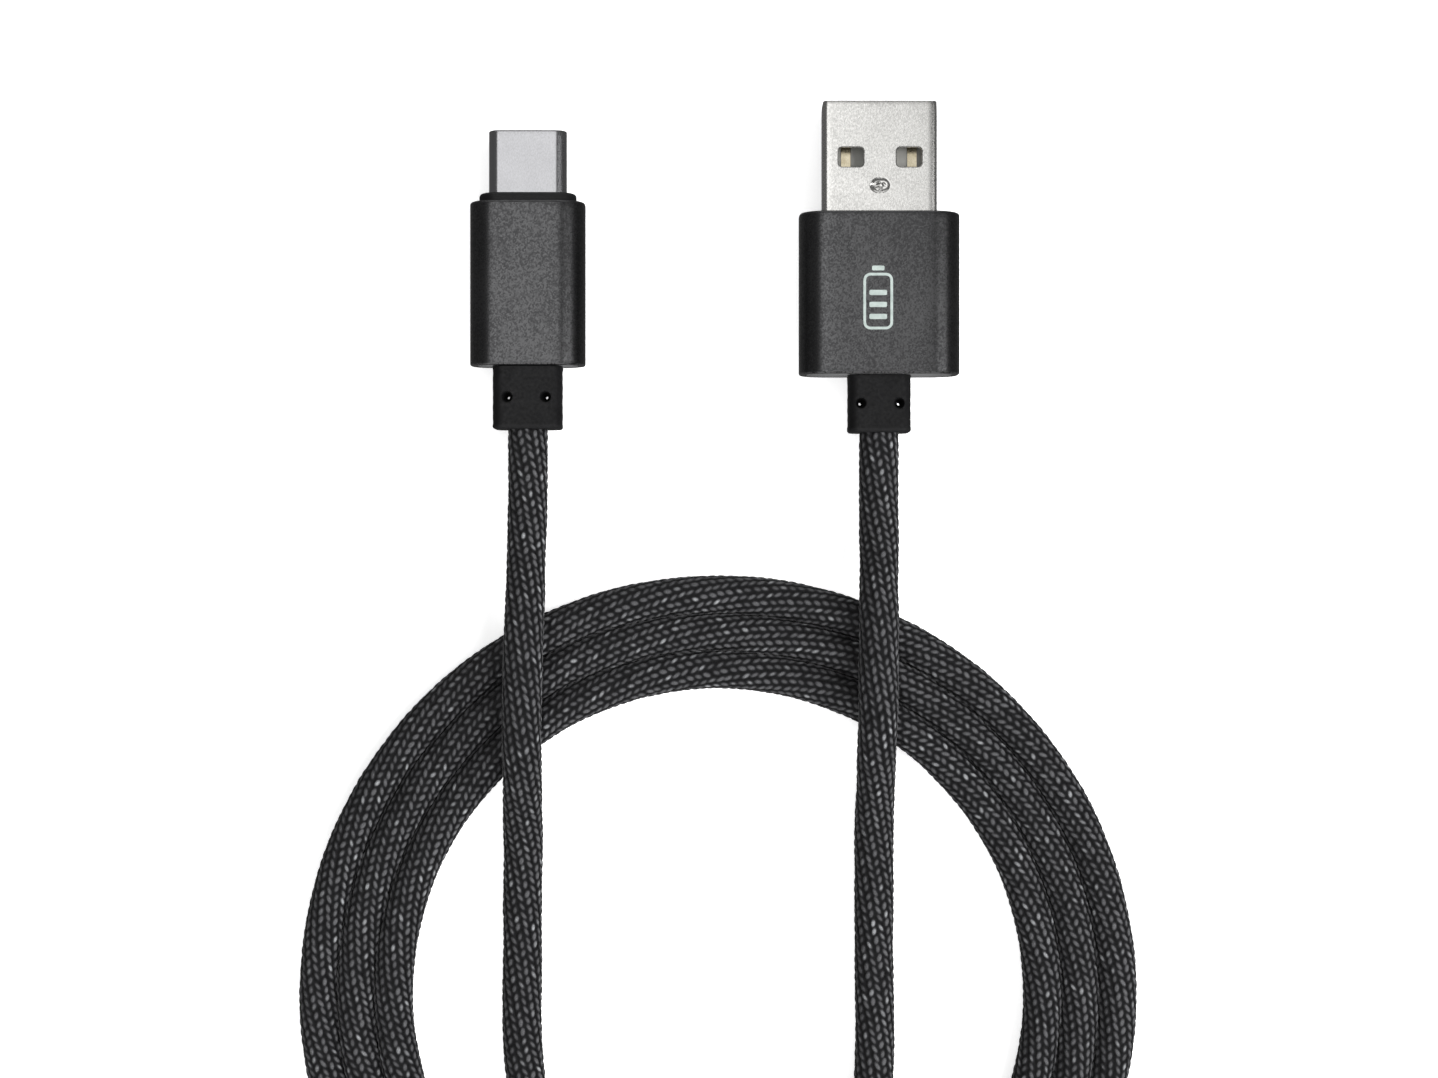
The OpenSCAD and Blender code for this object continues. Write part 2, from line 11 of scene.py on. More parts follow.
import bpy
import numpy as np
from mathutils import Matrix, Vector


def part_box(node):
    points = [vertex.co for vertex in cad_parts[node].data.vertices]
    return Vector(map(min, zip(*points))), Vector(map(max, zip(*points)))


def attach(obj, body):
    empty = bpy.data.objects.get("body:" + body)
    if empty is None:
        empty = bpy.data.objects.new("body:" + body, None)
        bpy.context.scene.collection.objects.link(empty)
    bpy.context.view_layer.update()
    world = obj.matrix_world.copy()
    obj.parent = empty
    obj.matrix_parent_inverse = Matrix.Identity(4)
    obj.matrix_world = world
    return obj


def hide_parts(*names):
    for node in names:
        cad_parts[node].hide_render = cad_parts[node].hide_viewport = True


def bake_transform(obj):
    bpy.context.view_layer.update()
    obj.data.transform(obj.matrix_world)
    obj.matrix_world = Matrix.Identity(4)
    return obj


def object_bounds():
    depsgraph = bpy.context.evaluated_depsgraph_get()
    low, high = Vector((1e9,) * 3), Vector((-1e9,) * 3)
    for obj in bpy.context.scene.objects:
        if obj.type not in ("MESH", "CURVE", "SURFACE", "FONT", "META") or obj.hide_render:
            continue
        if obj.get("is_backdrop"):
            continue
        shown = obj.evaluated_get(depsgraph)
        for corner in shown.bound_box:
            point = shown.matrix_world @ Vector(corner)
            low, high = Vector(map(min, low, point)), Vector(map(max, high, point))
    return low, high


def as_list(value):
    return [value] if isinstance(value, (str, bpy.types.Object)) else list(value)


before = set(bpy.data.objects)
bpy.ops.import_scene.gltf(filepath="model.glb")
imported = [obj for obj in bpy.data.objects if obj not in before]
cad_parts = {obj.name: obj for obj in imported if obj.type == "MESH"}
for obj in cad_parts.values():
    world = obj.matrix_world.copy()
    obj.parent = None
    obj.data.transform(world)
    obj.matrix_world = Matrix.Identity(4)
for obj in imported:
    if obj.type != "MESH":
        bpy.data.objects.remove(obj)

CAD_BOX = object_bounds()
Piece = bpy.types.Object
Array = np.ndarray
MM = 0.001
log = logging.getLogger("charging_cable")


class Body(Enum):
    """The bodies that the pieces move with."""

    CORD = "cord"
    PLUG_A = "usb_a_plug"
    PLUG_C = "usb_c_plug"


# ---------------------------------------------------------------- finishes


def linear(hex_colour: str) -> tuple[float, float, float, float]:
    """Turn an sRGB hex colour such as "#8a8a8a" into linear red, green, blue and alpha."""
    srgb = np.array([int(hex_colour[i : i + 2], 16) / 255 for i in (1, 3, 5)])
    value = np.where(srgb <= 0.04045, srgb / 12.92, ((srgb + 0.055) / 1.055) ** 2.4)
    return (*value.tolist(), 1.0)


def add_node(
    tree: bpy.types.NodeTree,
    kind: str,
    inputs: dict | None = None,
    stops: tuple = (),
    **settings: object,
) -> bpy.types.Node:
    """Add one shader node.

    Args:
        tree: the material's nodes.
        kind: the node's type name, without the "ShaderNode" that they all start with.
        inputs: a value, or another node's output, for each input by its name or number.
        stops: the places and hex colours of a colour ramp.
        settings: the node's own options.

    Returns:
        The new node.
    """
    node = tree.nodes.new(f"ShaderNode{kind}")
    for name, value in settings.items():
        setattr(node, name, value)
    for place, colour in stops:
        node.color_ramp.elements.new(place).color = linear(colour)
    for _ in range(2 if stops else 0):
        spare = [e for e in node.color_ramp.elements if tuple(e.color) in ((0, 0, 0, 1), (1, 1, 1, 1))]
        node.color_ramp.elements.remove(spare[0])
    for socket, value in (inputs or {}).items():
        if isinstance(value, bpy.types.NodeSocket):
            tree.links.new(value, node.inputs[socket])
        else:
            node.inputs[socket].default_value = value
    return node


class Recipe:
    """What every finish shares: its material is made once and used again from then on."""

    name: str

    def wire(self, tree: bpy.types.NodeTree) -> None:
        """Build the nodes. Each kind of finish has its own."""
        raise NotImplementedError

    def material(self) -> bpy.types.Material:
        """Give the finish's material, and make it the first time."""
        made = bpy.data.materials.get(self.name)
        if made is None:
            made = bpy.data.materials.new(self.name)
            made.use_nodes = True
            made.node_tree.nodes.clear()
            self.wire(made.node_tree)
        return made


@dataclass(frozen=True)
class Finish(Recipe):
    """One real material with an even body: metal, moulded plastic, rubber or lacquer.

    Attributes:
        name: the common name and how the surface was made.
        tone: the main colour, sRGB hex.
        tone_two: the colour that slow clouds blend in.
        cloud_mm: the clouds' width.
        spread: how far the grain moves the roughness either way.
        grain_mm: the fine grain's width.
        stretch: the grain's length over its width, along the plug.
        relief_mm: how high the grain stands.
        ior: index of refraction, for what isn't a metal.
        edge: the colour of rubbed or machined edges, or of painted shade on the end plate's bevel; "" for
            none.
        coat: weight of a clear lacquer.
        speckle: how strongly the grain also moves the colour.
        faceted: whether the grain is small facets, as blasting leaves, or soft noise.
        glow: how much light the surface gives off.
    """

    name: str
    tone: str
    tone_two: str
    cloud_mm: float = 3.0
    metallic: float = 0.0
    roughness: float = 0.5
    spread: float = 0.08
    grain_mm: float = 0.2
    stretch: float = 1.0
    relief_mm: float = 0.004
    ior: float = 1.5
    edge: str = ""
    coat: float = 0.0
    speckle: float = 0.0
    faceted: bool = False
    glow: float = 0.0

    def wire(self, tree: bpy.types.NodeTree) -> None:
        """Mix grain and slow clouds into the colour. The grain alone moves the gloss and the relief."""
        place = add_node(tree, "TexCoord").outputs["Object"]
        along = add_node(tree, "Mapping", {"Vector": place, "Scale": (1.0, 1.0 / self.stretch, 1.0)})
        kind, fine = ("Voronoi", {}) if self.faceted else ("Noise", {"Detail": 3.0})
        grain_node = add_node(
            tree, f"Tex{kind}", {"Vector": along.outputs[0], "Scale": 1 / (self.grain_mm * MM), **fine}
        )
        grain = grain_node.outputs["Color" if self.faceted else "Fac"]
        slow = {"Vector": place, "Scale": 1 / (self.cloud_mm * MM), "Detail": 2.0}
        cloud = add_node(tree, "TexNoise", slow).outputs[0]
        both = {0: grain, 1: self.speckle, 2: cloud}
        mixed = add_node(tree, "Math", both, operation="MULTIPLY_ADD").outputs[0]
        middle, reach = 0.5 + self.speckle / 2, 0.15 + self.speckle * 0.12
        share = add_node(
            tree, "MapRange", {"Value": mixed, "From Min": middle - reach, "From Max": middle + reach}
        )
        tones = {0: share.outputs[0], 6: linear(self.tone), 7: linear(self.tone_two)}
        colour = add_node(tree, "Mix", tones, data_type="RGBA").outputs[2]
        # Marked edges take the edge colour, broken by the grain: wear on sleeve, boot and collar, painted
        # shade on the end plate's bevel.
        if self.edge:
            rubbed = add_node(tree, "Attribute", attribute_name="edge").outputs["Fac"]
            broken = add_node(tree, "MapRange", {"Value": grain, "From Min": 0.25, "From Max": 0.5})
            edge_wear_and_shade = add_node(tree, "Math", {0: rubbed, 1: broken.outputs[0]}, operation="MULTIPLY")
            tones = {0: edge_wear_and_shade.outputs[0], 6: colour, 7: linear(self.edge)}
            colour = add_node(tree, "Mix", tones, data_type="RGBA").outputs[2]
        low, high = max(self.roughness - self.spread, 0.03), min(self.roughness + self.spread, 1.0)
        span = {"Value": grain, "From Min": 0.3, "From Max": 0.7, "To Min": low, "To Max": high}
        gloss = add_node(tree, "MapRange", span)
        bump = add_node(tree, "Bump", {"Height": grain, "Distance": self.relief_mm * MM, "Strength": 1.0})
        body = {
            "Base Color": colour,
            "Metallic": self.metallic,
            "Roughness": gloss.outputs[0],
            "Normal": bump.outputs[0],
            "Coat Weight": self.coat,
            "Emission Color": (1.0, 1.0, 1.0, 1.0),
            "Emission Strength": self.glow,
        }
        if not self.metallic:
            body["IOR"] = self.ior
        shader = add_node(tree, "BsdfPrincipled", body)
        add_node(tree, "OutputMaterial", {"Surface": shader.outputs[0]})


@dataclass(frozen=True)
class YarnFinish(Recipe):
    """Braided polyester yarn: dull twisted filaments, dark where one float dives under the next.

    The colours are painted shade between the floats and down a float's side, the yarn's own colour on top of
    it, and a painted highlight on the few floats that catch the light. The filaments are drawn about five
    times coarser than the real 0.02 mm, so they show.
    """

    name: str = "braided polyester yarn"
    # The pit and flank colours are painted shade in the weave's hollows; the glint colour is a painted
    # highlight.
    pit_shade: str = "#040405"
    flank_shade: str = "#101012"
    crown: str = "#505052"
    glint: str = "#949698"
    fibre_mm: float = 0.1

    def wire(self, tree: bpy.types.NodeTree) -> None:
        """Paint shade into the weave by its height, paint a highlight on a few crowns, and streak all of it
        with filaments.
        """
        weave = add_node(tree, "Attribute", attribute_name="weave").outputs["Fac"]
        glint_pick = add_node(tree, "Attribute", attribute_name="glint_pick").outputs["Fac"]
        # Painted shade: the lower the weave, the darker the yarn, nearly black between the floats.
        stops = ((0.53, self.pit_shade), (0.78, self.flank_shade), (0.97, self.crown))
        depth = add_node(tree, "ValToRGB", {0: weave}, stops).outputs[0]
        # Painted highlight: the glint colour on the crowns of the floats whose own random number is high.
        rare = add_node(tree, "MapRange", {"Value": glint_pick, "From Min": 0.75, "From Max": 1.0}).outputs[0]
        high = add_node(tree, "MapRange", {"Value": weave, "From Min": 0.88, "From Max": 1.02}).outputs[0]
        lit = add_node(tree, "Math", {0: rare, 1: high}, operation="MULTIPLY").outputs[0]
        bright = add_node(tree, "Mix", {0: lit, 6: depth, 7: linear(self.glint)}, data_type="RGBA").outputs[2]
        place = add_node(tree, "TexCoord").outputs["Object"]
        fine = {"Vector": place, "Scale": 1 / (self.fibre_mm * MM), "Detail": 2.0}
        fibre = add_node(tree, "TexNoise", fine).outputs[0]
        span = {"Value": fibre, "From Min": 0.3, "From Max": 0.7}
        uneven = add_node(tree, "MapRange", {**span, "To Min": 0.55, "To Max": 1.3}).outputs[0]
        both = {0: 1.0, 6: bright, 7: uneven}
        colour = add_node(tree, "Mix", both, data_type="RGBA", blend_type="MULTIPLY")
        dull = add_node(tree, "MapRange", {**span, "To Min": 0.5, "To Max": 0.8})
        bump = add_node(tree, "Bump", {"Height": fibre, "Distance": 0.03 * MM, "Strength": 0.8})
        # Twisted fibres shade each other, so the braid mirrors less than clear polyester's 1.57 would.
        body = {
            "Base Color": colour.outputs[2],
            "Roughness": dull.outputs[0],
            "Normal": bump.outputs[0],
            "IOR": 1.42,
            "Sheen Weight": 0.15,
            "Sheen Roughness": 0.4,
        }
        shader = add_node(tree, "BsdfPrincipled", body)
        add_node(tree, "OutputMaterial", {"Surface": shader.outputs[0]})


# Folded sheet steel with satin nickel plating: bright, slightly warm, a fine rolled grain along the plug.
NICKEL = Finish(
    "satin nickel plate", "#dcdbd8", "#cdccc9", cloud_mm=2.5, metallic=1.0, roughness=0.27, spread=0.07,
    grain_mm=0.16, stretch=1.6, relief_mm=0.0006, speckle=1.5,
)
# Deep-drawn stainless steel: a little greyer and smoother, with no seam.
DRAWN_STEEL = Finish(
    "drawn stainless steel", "#ababad", "#a6a6a8", cloud_mm=2.5, metallic=1.0, roughness=0.22, spread=0.05,
    grain_mm=0.12, stretch=2.0, relief_mm=0.001, speckle=0.8,
)
# Tin-plated steel can: dull and mottled where the tin crystals differ.
TIN = Finish(
    "tinned steel", "#9c9d9c", "#848685", cloud_mm=0.8, metallic=1.0, roughness=0.38, spread=0.1,
    grain_mm=0.15,
)
# Thin gold flash over nickel: pale champagne with a clean gloss.
GOLD = Finish(
    "gold flash", "#c4bba4", "#b0a68d", cloud_mm=0.9, metallic=1.0, roughness=0.22, spread=0.05,
    grain_mm=0.08, stretch=2.0, relief_mm=0.001,
)
# Spring steel strip: cool grey, with blanked edges.
SPRING = Finish(
    "spring steel strip", "#a9abae", "#93969a", cloud_mm=1.0, metallic=1.0, roughness=0.3, spread=0.06,
    grain_mm=0.08, stretch=3.0, relief_mm=0.0015,
)
# Anodised aluminium, bead blasted first: dark grey, a tight sparkle, paler where the edge was cut afterwards.
ANODISED = Finish(
    "bead-blasted anodised aluminium", "#5c5c5d", "#49494a", cloud_mm=6.0, metallic=1.0, roughness=0.34,
    spread=0.05, grain_mm=0.15, relief_mm=0.0, edge="#8f8f90", speckle=1.2, faceted=True,
)
# Aluminium plate, diamond cut and lacquered: paler than the sleeve and glossy, its bevel painted darker as
# shade.
CUT_PLATE = Finish(
    "diamond-cut aluminium plate", "#c6c6c8", "#b4b4b6", metallic=0.35, roughness=0.2, spread=0.04,
    relief_mm=0.002, edge="#5c5c5e",
)
# Thermoplastic rubber, moulded: matt black, a faint leathery wrinkle, nearly no gloss.
BOOT_RUBBER = Finish(
    "moulded thermoplastic rubber", "#101011", "#0b0b0c", cloud_mm=2.0, roughness=0.6, spread=0.12,
    grain_mm=0.35, relief_mm=0.05, ior=1.4, edge="#171718",
)
# ABS, moulded: black with the soft sheen of a fine spark-eroded tool.
BLACK_ABS = Finish(
    "moulded black plastic", "#0d0d0e", "#0a0a0b", roughness=0.55, spread=0.1, grain_mm=0.15,
    relief_mm=0.01, ior=1.45, edge="#262627",
)
# Glass-filled nylon, moulded: milky off-white painted down to grey as the shell's shade, faint flow clouds.
WHITE_NYLON = Finish(
    "white glass-filled nylon", "#a9a8a3", "#9a9994", cloud_mm=1.5, roughness=0.42, grain_mm=0.12,
    stretch=2.0, relief_mm=0.006, ior=1.53,
)
# Liquid-crystal polymer, moulded: near black with pale flow streaks.
BLACK_POLYMER = Finish(
    "black liquid-crystal polymer", "#161617", "#202021", cloud_mm=0.8, spread=0.1, grain_mm=0.1,
    stretch=5.0, relief_mm=0.008, ior=1.6,
)
# Fibreglass board under green solder mask: glossy, the glass cloth just showing.
SOLDER_MASK = Finish(
    "green solder mask", "#14542f", "#0f4727", cloud_mm=0.5, roughness=0.28, spread=0.06, grain_mm=0.3,
    relief_mm=0.006, ior=1.55, coat=0.4,
)
# Ceramic chip under black glaze: dark, even and fairly glossy.
CHIP = Finish(
    "glazed chip body", "#1b1b1d", "#262629", cloud_mm=0.3, roughness=0.35, spread=0.06, grain_mm=0.08,
    relief_mm=0.003, ior=1.6,
)
# PVC wire insulation: glossy and slightly waxy.
WIRE_RED = Finish(
    "red wire insulation", "#a81c1c", "#971717", cloud_mm=1.2, roughness=0.35, spread=0.06, grain_mm=0.12,
    stretch=3.0, relief_mm=0.005, ior=1.54,
)
WIRE_WHITE = replace(WIRE_RED, name="white wire insulation", tone="#dedcd6", tone_two="#d2d0ca")
WIRE_GREEN = replace(WIRE_RED, name="green wire insulation", tone="#1f7a3a", tone_two="#1a6c32")
WIRE_BLACK = replace(WIRE_RED, name="black wire insulation", tone="#141415", tone_two="#1c1c1d")
# Thermoplastic elastomer jacket: black, satin, pressed by the braid over it.
JACKET = Finish(
    "extruded cable jacket", "#131314", "#1a1a1b", cloud_mm=2.0, spread=0.1, stretch=4.0, relief_mm=0.01,
)
# Pad-printed ink: pale grey-green, a little broken where the grit shows through.
INK = Finish("pad-printed ink", "#a9b4b0", "#9ba6a2", cloud_mm=0.6, spread=0.1, grain_mm=0.12)
# Seamless white acrylic under the cable, lit a little from below, which lifts the shadows.
TABLE = Finish(
    "white lit table", "#f4f4f4", "#f1f1f1", cloud_mm=30.0, roughness=0.85, spread=0.05, grain_mm=0.5,
    relief_mm=0.01, ior=1.45, glow=0.6,
)
YARN = YarnFinish()

IN_BOTH_PLUGS: dict[str, Finish] = {
    "rear_shield": TIN,
    "inner_mould": BLACK_ABS,
    "jacket_end": JACKET,
    "wire_power": WIRE_RED,
    "wire_data_minus": WIRE_WHITE,
    "wire_data_plus": WIRE_GREEN,
    "wire_ground": WIRE_BLACK,
}
CARRIED_OVER: dict[str, Finish] = {
    "usb_a_insulator": WHITE_NYLON,
    **{f"usb_a_contact_{line}": GOLD for line in ("power", "data_minus", "data_plus", "ground")},
    "usb_c_insulator": BLACK_POLYMER,
    "usb_c_contacts_top": GOLD,
    "usb_c_contacts_bottom": GOLD,
    **{f"usb_c_{strip}": SPRING for strip in ("ground_spring_top", "ground_spring_bottom", "latch")},
    "usb_c_circuit_board": SOLDER_MASK,
    "usb_c_pull_up_resistor": CHIP,
    **{f"{plug}_{part}": finish for plug in ("usb_a", "usb_c") for part, finish in IN_BOTH_PLUGS.items()},
}


# ---------------------------------------------------------------- surfaces


def box_mm(node: str) -> tuple[Array, Array]:
    """Give a CAD node's lowest and highest corners in millimetres."""
    low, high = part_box(node)
    return np.array(low) / MM, np.array(high) / MM


def smooth(t: Array) -> Array:
    """Ease from 0 to 1: three t squared less two t cubed, held flat outside that range."""
    t = np.clip(t, 0, 1)
    return t * t * (3 - 2 * t)


def unit(v: Array) -> Array:
    """Scale each vector to length 1."""
    return v / np.linalg.norm(v, axis=-1, keepdims=True)


def grid_mesh(
    name: str,
    grid: Array,
    finish: Recipe,
    ring: bool = False,
    marks: dict[str, Array] | None = None,
) -> Piece:
    """Make a closed piece from rows of points that each run once round it.

    Row k and row k + 1 are joined by four-sided faces, column j to column j + 1, and the last column to the
    first. A ring-shaped piece also joins its last row to its first. Any other piece is closed at both ends by
    a fan of triangles round the mean of the end row, and the edges round those ends stay crisp. If the volume
    by the divergence theorem is negative, the faces are turned round, so that they look outwards.

    Args:
        name: the piece's name.
        grid: the points in millimetres, rows by columns by 3.
        finish: what it is made of.
        ring: whether the last row meets the first.
        marks: values of named attributes, rows by columns.

    Returns:
        The new object.
    """
    rows, cols = grid.shape[:2]
    k, j = np.meshgrid(np.arange(rows if ring else rows - 1), np.arange(cols), indexing="ij")
    k2, j2 = (k + 1) % rows, (j + 1) % cols
    quads = np.stack([k * cols + j, k * cols + j2, k2 * cols + j2, k2 * cols + j], -1).reshape(-1, 4)
    points = grid.reshape(-1, 3)
    tris = np.zeros((0, 3), int)
    if not ring:
        a, b = np.arange(cols), (np.arange(cols) + 1) % cols
        last = (rows - 1) * cols
        first_fan = np.stack([b, a, np.full(cols, rows * cols)], 1)
        last_fan = np.stack([last + a, last + b, np.full(cols, rows * cols + 1)], 1)
        tris = np.concatenate([first_fan, last_fan])
        points = np.concatenate([points, [grid[0].mean(0), grid[-1].mean(0)]])
    corners = np.concatenate([quads[:, :3], quads[:, [0, 2, 3]], tris])
    p = points[corners]
    if np.einsum("ij,ij->", p[:, 0], np.cross(p[:, 1], p[:, 2])) < 0:
        quads, tris = quads[:, ::-1], tris[:, ::-1]
    mesh = bpy.data.meshes.new(name)
    mesh.vertices.add(len(points))
    mesh.vertices.foreach_set("co", (points * MM).astype(np.float32).ravel())
    mesh.loops.add(quads.size + tris.size)
    mesh.loops.foreach_set("vertex_index", np.concatenate([quads.ravel(), tris.ravel()]).astype(np.int32))
    sides = np.concatenate([np.full(len(quads), 4), np.full(len(tris), 3)])
    mesh.polygons.add(len(sides))
    mesh.polygons.foreach_set("loop_start", np.concatenate([[0], np.cumsum(sides)[:-1]]).astype(np.int32))
    mesh.update(calc_edges=True)
    mesh.polygons.foreach_set("use_smooth", np.ones(len(sides), bool))
    if not ring:
        ends = np.zeros(len(mesh.edges) * 2, np.int32)
        mesh.edges.foreach_get("vertices", ends)
        row = np.minimum(ends // cols, rows).reshape(-1, 2)
        rim = (row[:, 0] == row[:, 1]) & np.isin(row[:, 0], (0, rows - 1))
        mesh.attributes.new("sharp_edge", "BOOLEAN", "EDGE").data.foreach_set("value", rim)
    for title, values in (marks or {}).items():
        flat = np.concatenate([values.ravel(), np.zeros(len(points) - values.size)])
        mesh.attributes.new(title, "FLOAT", "POINT").data.foreach_set("value", flat.astype(np.float32))
    mesh.materials.append(finish.material())
    piece = bpy.data.objects.new(name, mesh)
    bpy.context.scene.collection.objects.link(piece)
    return piece


def crease(piece: Piece, degrees: float = 32) -> None:
    """Keep every edge that turns by more than the angle crisp, and shade the rest smoothly."""
    piece.data.set_sharp_from_angle(angle=math.radians(degrees))


def cut(piece: Piece, tools: list[Piece]) -> None:
    """Take the tools' shapes out of the piece, put the result into its mesh, and delete the tools."""
    for tool in tools:
        change = piece.modifiers.new("cut", "BOOLEAN")
        change.operation = "DIFFERENCE"
        change.solver = "EXACT"
        change.object = tool
    ready = piece.evaluated_get(bpy.context.evaluated_depsgraph_get())
    mesh = bpy.data.meshes.new_from_object(ready)
    piece.modifiers.clear()
    piece.data = mesh
    mesh.name = piece.name
    for tool in tools:
        bpy.data.objects.remove(tool)


def rounded(
    corners: list[tuple[float, float, float]], closed: bool, steps: int = 6
) -> tuple[Array, Array]:
    """Round the corners of a line of points in a plane.

    At each corner an arc of its radius touches both sides: it starts radius / tan(half the corner's angle)
    from the corner, about a centre radius / sin(half the angle) along the bisector, and sweeps between the
    two touching points.

    Args:
        corners: each corner's two coordinates and its radius.
        closed: whether the last corner joins the first.
        steps: the number of points in an arc, less one.

    Returns:
        The points, and a number for each that is 1 in the middle of an arc and 0 on the straights.
    """
    spots = np.array([c[:2] for c in corners], float)
    out, rim = [], []
    for i, (x, y, radius) in enumerate(corners):
        here = spots[i]
        if radius <= 0 or (not closed and i in (0, len(corners) - 1)):
            out.append(here[None])
            rim.append(np.zeros(1))
            continue
        back = unit(spots[i - 1] - here)
        ahead = unit(spots[(i + 1) % len(spots)] - here)
        half = math.acos(float(np.clip(back @ ahead, -1, 1))) / 2
        centre = here + unit(back + ahead) * radius / math.sin(half)
        start = here + back * radius / math.tan(half) - centre
        stop = here + ahead * radius / math.tan(half) - centre
        t = np.linspace(0, 1, steps + 1)[:, None]
        sweep = math.pi - 2 * half
        arc = (np.sin((1 - t) * sweep) * start + np.sin(t * sweep) * stop) / math.sin(sweep)
        out.append(centre + arc)
        rim.append(np.sin(np.pi * t[:, 0]) ** 0.5)
    return np.concatenate(out), np.concatenate(rim)


@dataclass(frozen=True)
class Section:
    """A rounded rectangle across a plug's axis.

    Attributes:
        top: where the samples on the upper and lower flats lie, from 0 to 1.
        arc: the number of steps in each corner.
    """

    width: float
    height: float
    radius: float
    top: tuple[float, ...] = (0.1, 0.3, 0.5, 0.7, 0.9)
    arc: int = 12

    def frame(self) -> tuple[Array, Array]:
        """Give the line that the corner centres span, and the outward direction at each sample.

        The outline at any inset is that line plus (radius less inset) times the direction, so a whole loft
        is one product of arrays.
        """
        a, b = self.width / 2 - self.radius, self.height / 2 - self.radius
        sides = (self.top, (0.2, 0.5, 0.8), tuple(1 - t for t in reversed(self.top)), (0.2, 0.5, 0.8))
        centres = np.array([[a, b], [-a, b], [-a, -b], [a, -b]])
        base, normal = [], []
        for i, (centre, side) in enumerate(zip(centres, sides)):
            turn = np.linspace(0, math.pi / 2, self.arc + 1) + i * math.pi / 2
            base.append(np.repeat(centre[None], len(turn), 0))
            normal.append(np.stack([np.cos(turn), np.sin(turn)], 1))
            t = np.array(side)[:, None]
            base.append(centre + t * (centres[(i + 1) % 4] - centre))
            normal.append(np.repeat(normal[-1][-1:], len(t), 0))
        return np.concatenate(base), np.concatenate(normal)

    def outline(self, inset: float | Array) -> Array:
        """Give the outline moved inwards, for one inset or for a row of them."""
        base, normal = self.frame()
        reach = np.atleast_1d(self.radius - np.asarray(inset, float))[:, None, None]
        sharpest = 0.01
        return base + np.maximum(reach, sharpest) * normal

    def circle(self, radius: float) -> Array:
        """Give a circle whose points lie in the same directions as the outline's own."""
        ring = self.outline(0.0)[0]
        turn = np.arctan2(ring[:, 1], ring[:, 0])
        return radius * np.stack([np.cos(turn), np.sin(turn)], 1)[None]


def stack(axis: tuple[float, float], y: Array, rings: Array) -> Array:
    """Stand outlines (rows by columns by 2) across the plug's axis at each y, as a grid of points."""
    level = np.broadcast_to(np.asarray(y, float)[:, None], rings.shape[:2])
    return np.stack([axis[0] + rings[..., 0], level, axis[1] + rings[..., 1]], -1)


def rod(at: tuple[float, float], z: list[float], reach: list[float], section: Section) -> Array:
    """Stand a section upright at (x, y), grown by reach at each height z: a flared drill, or a flat print."""
    rings = section.outline(-np.array(reach, float))
    level = np.broadcast_to(np.array(z, float)[:, None], rings.shape[:2])
    return np.stack([at[0] + rings[..., 0], at[1] + rings[..., 1], level], -1)


def envelope(node: str, radius: float = 0.0, **more: object) -> tuple[float, float, Section]:
    """Give a CAD node's rear and front Y, and its box's section: round-sided, if it is given no radius."""
    low, high = box_mm(node)
    width, _, height = high - low
    return low[1], high[1], Section(width, height, radius or height / 2 - 0.002, **more)


# ---------------------------------------------------------------- cord


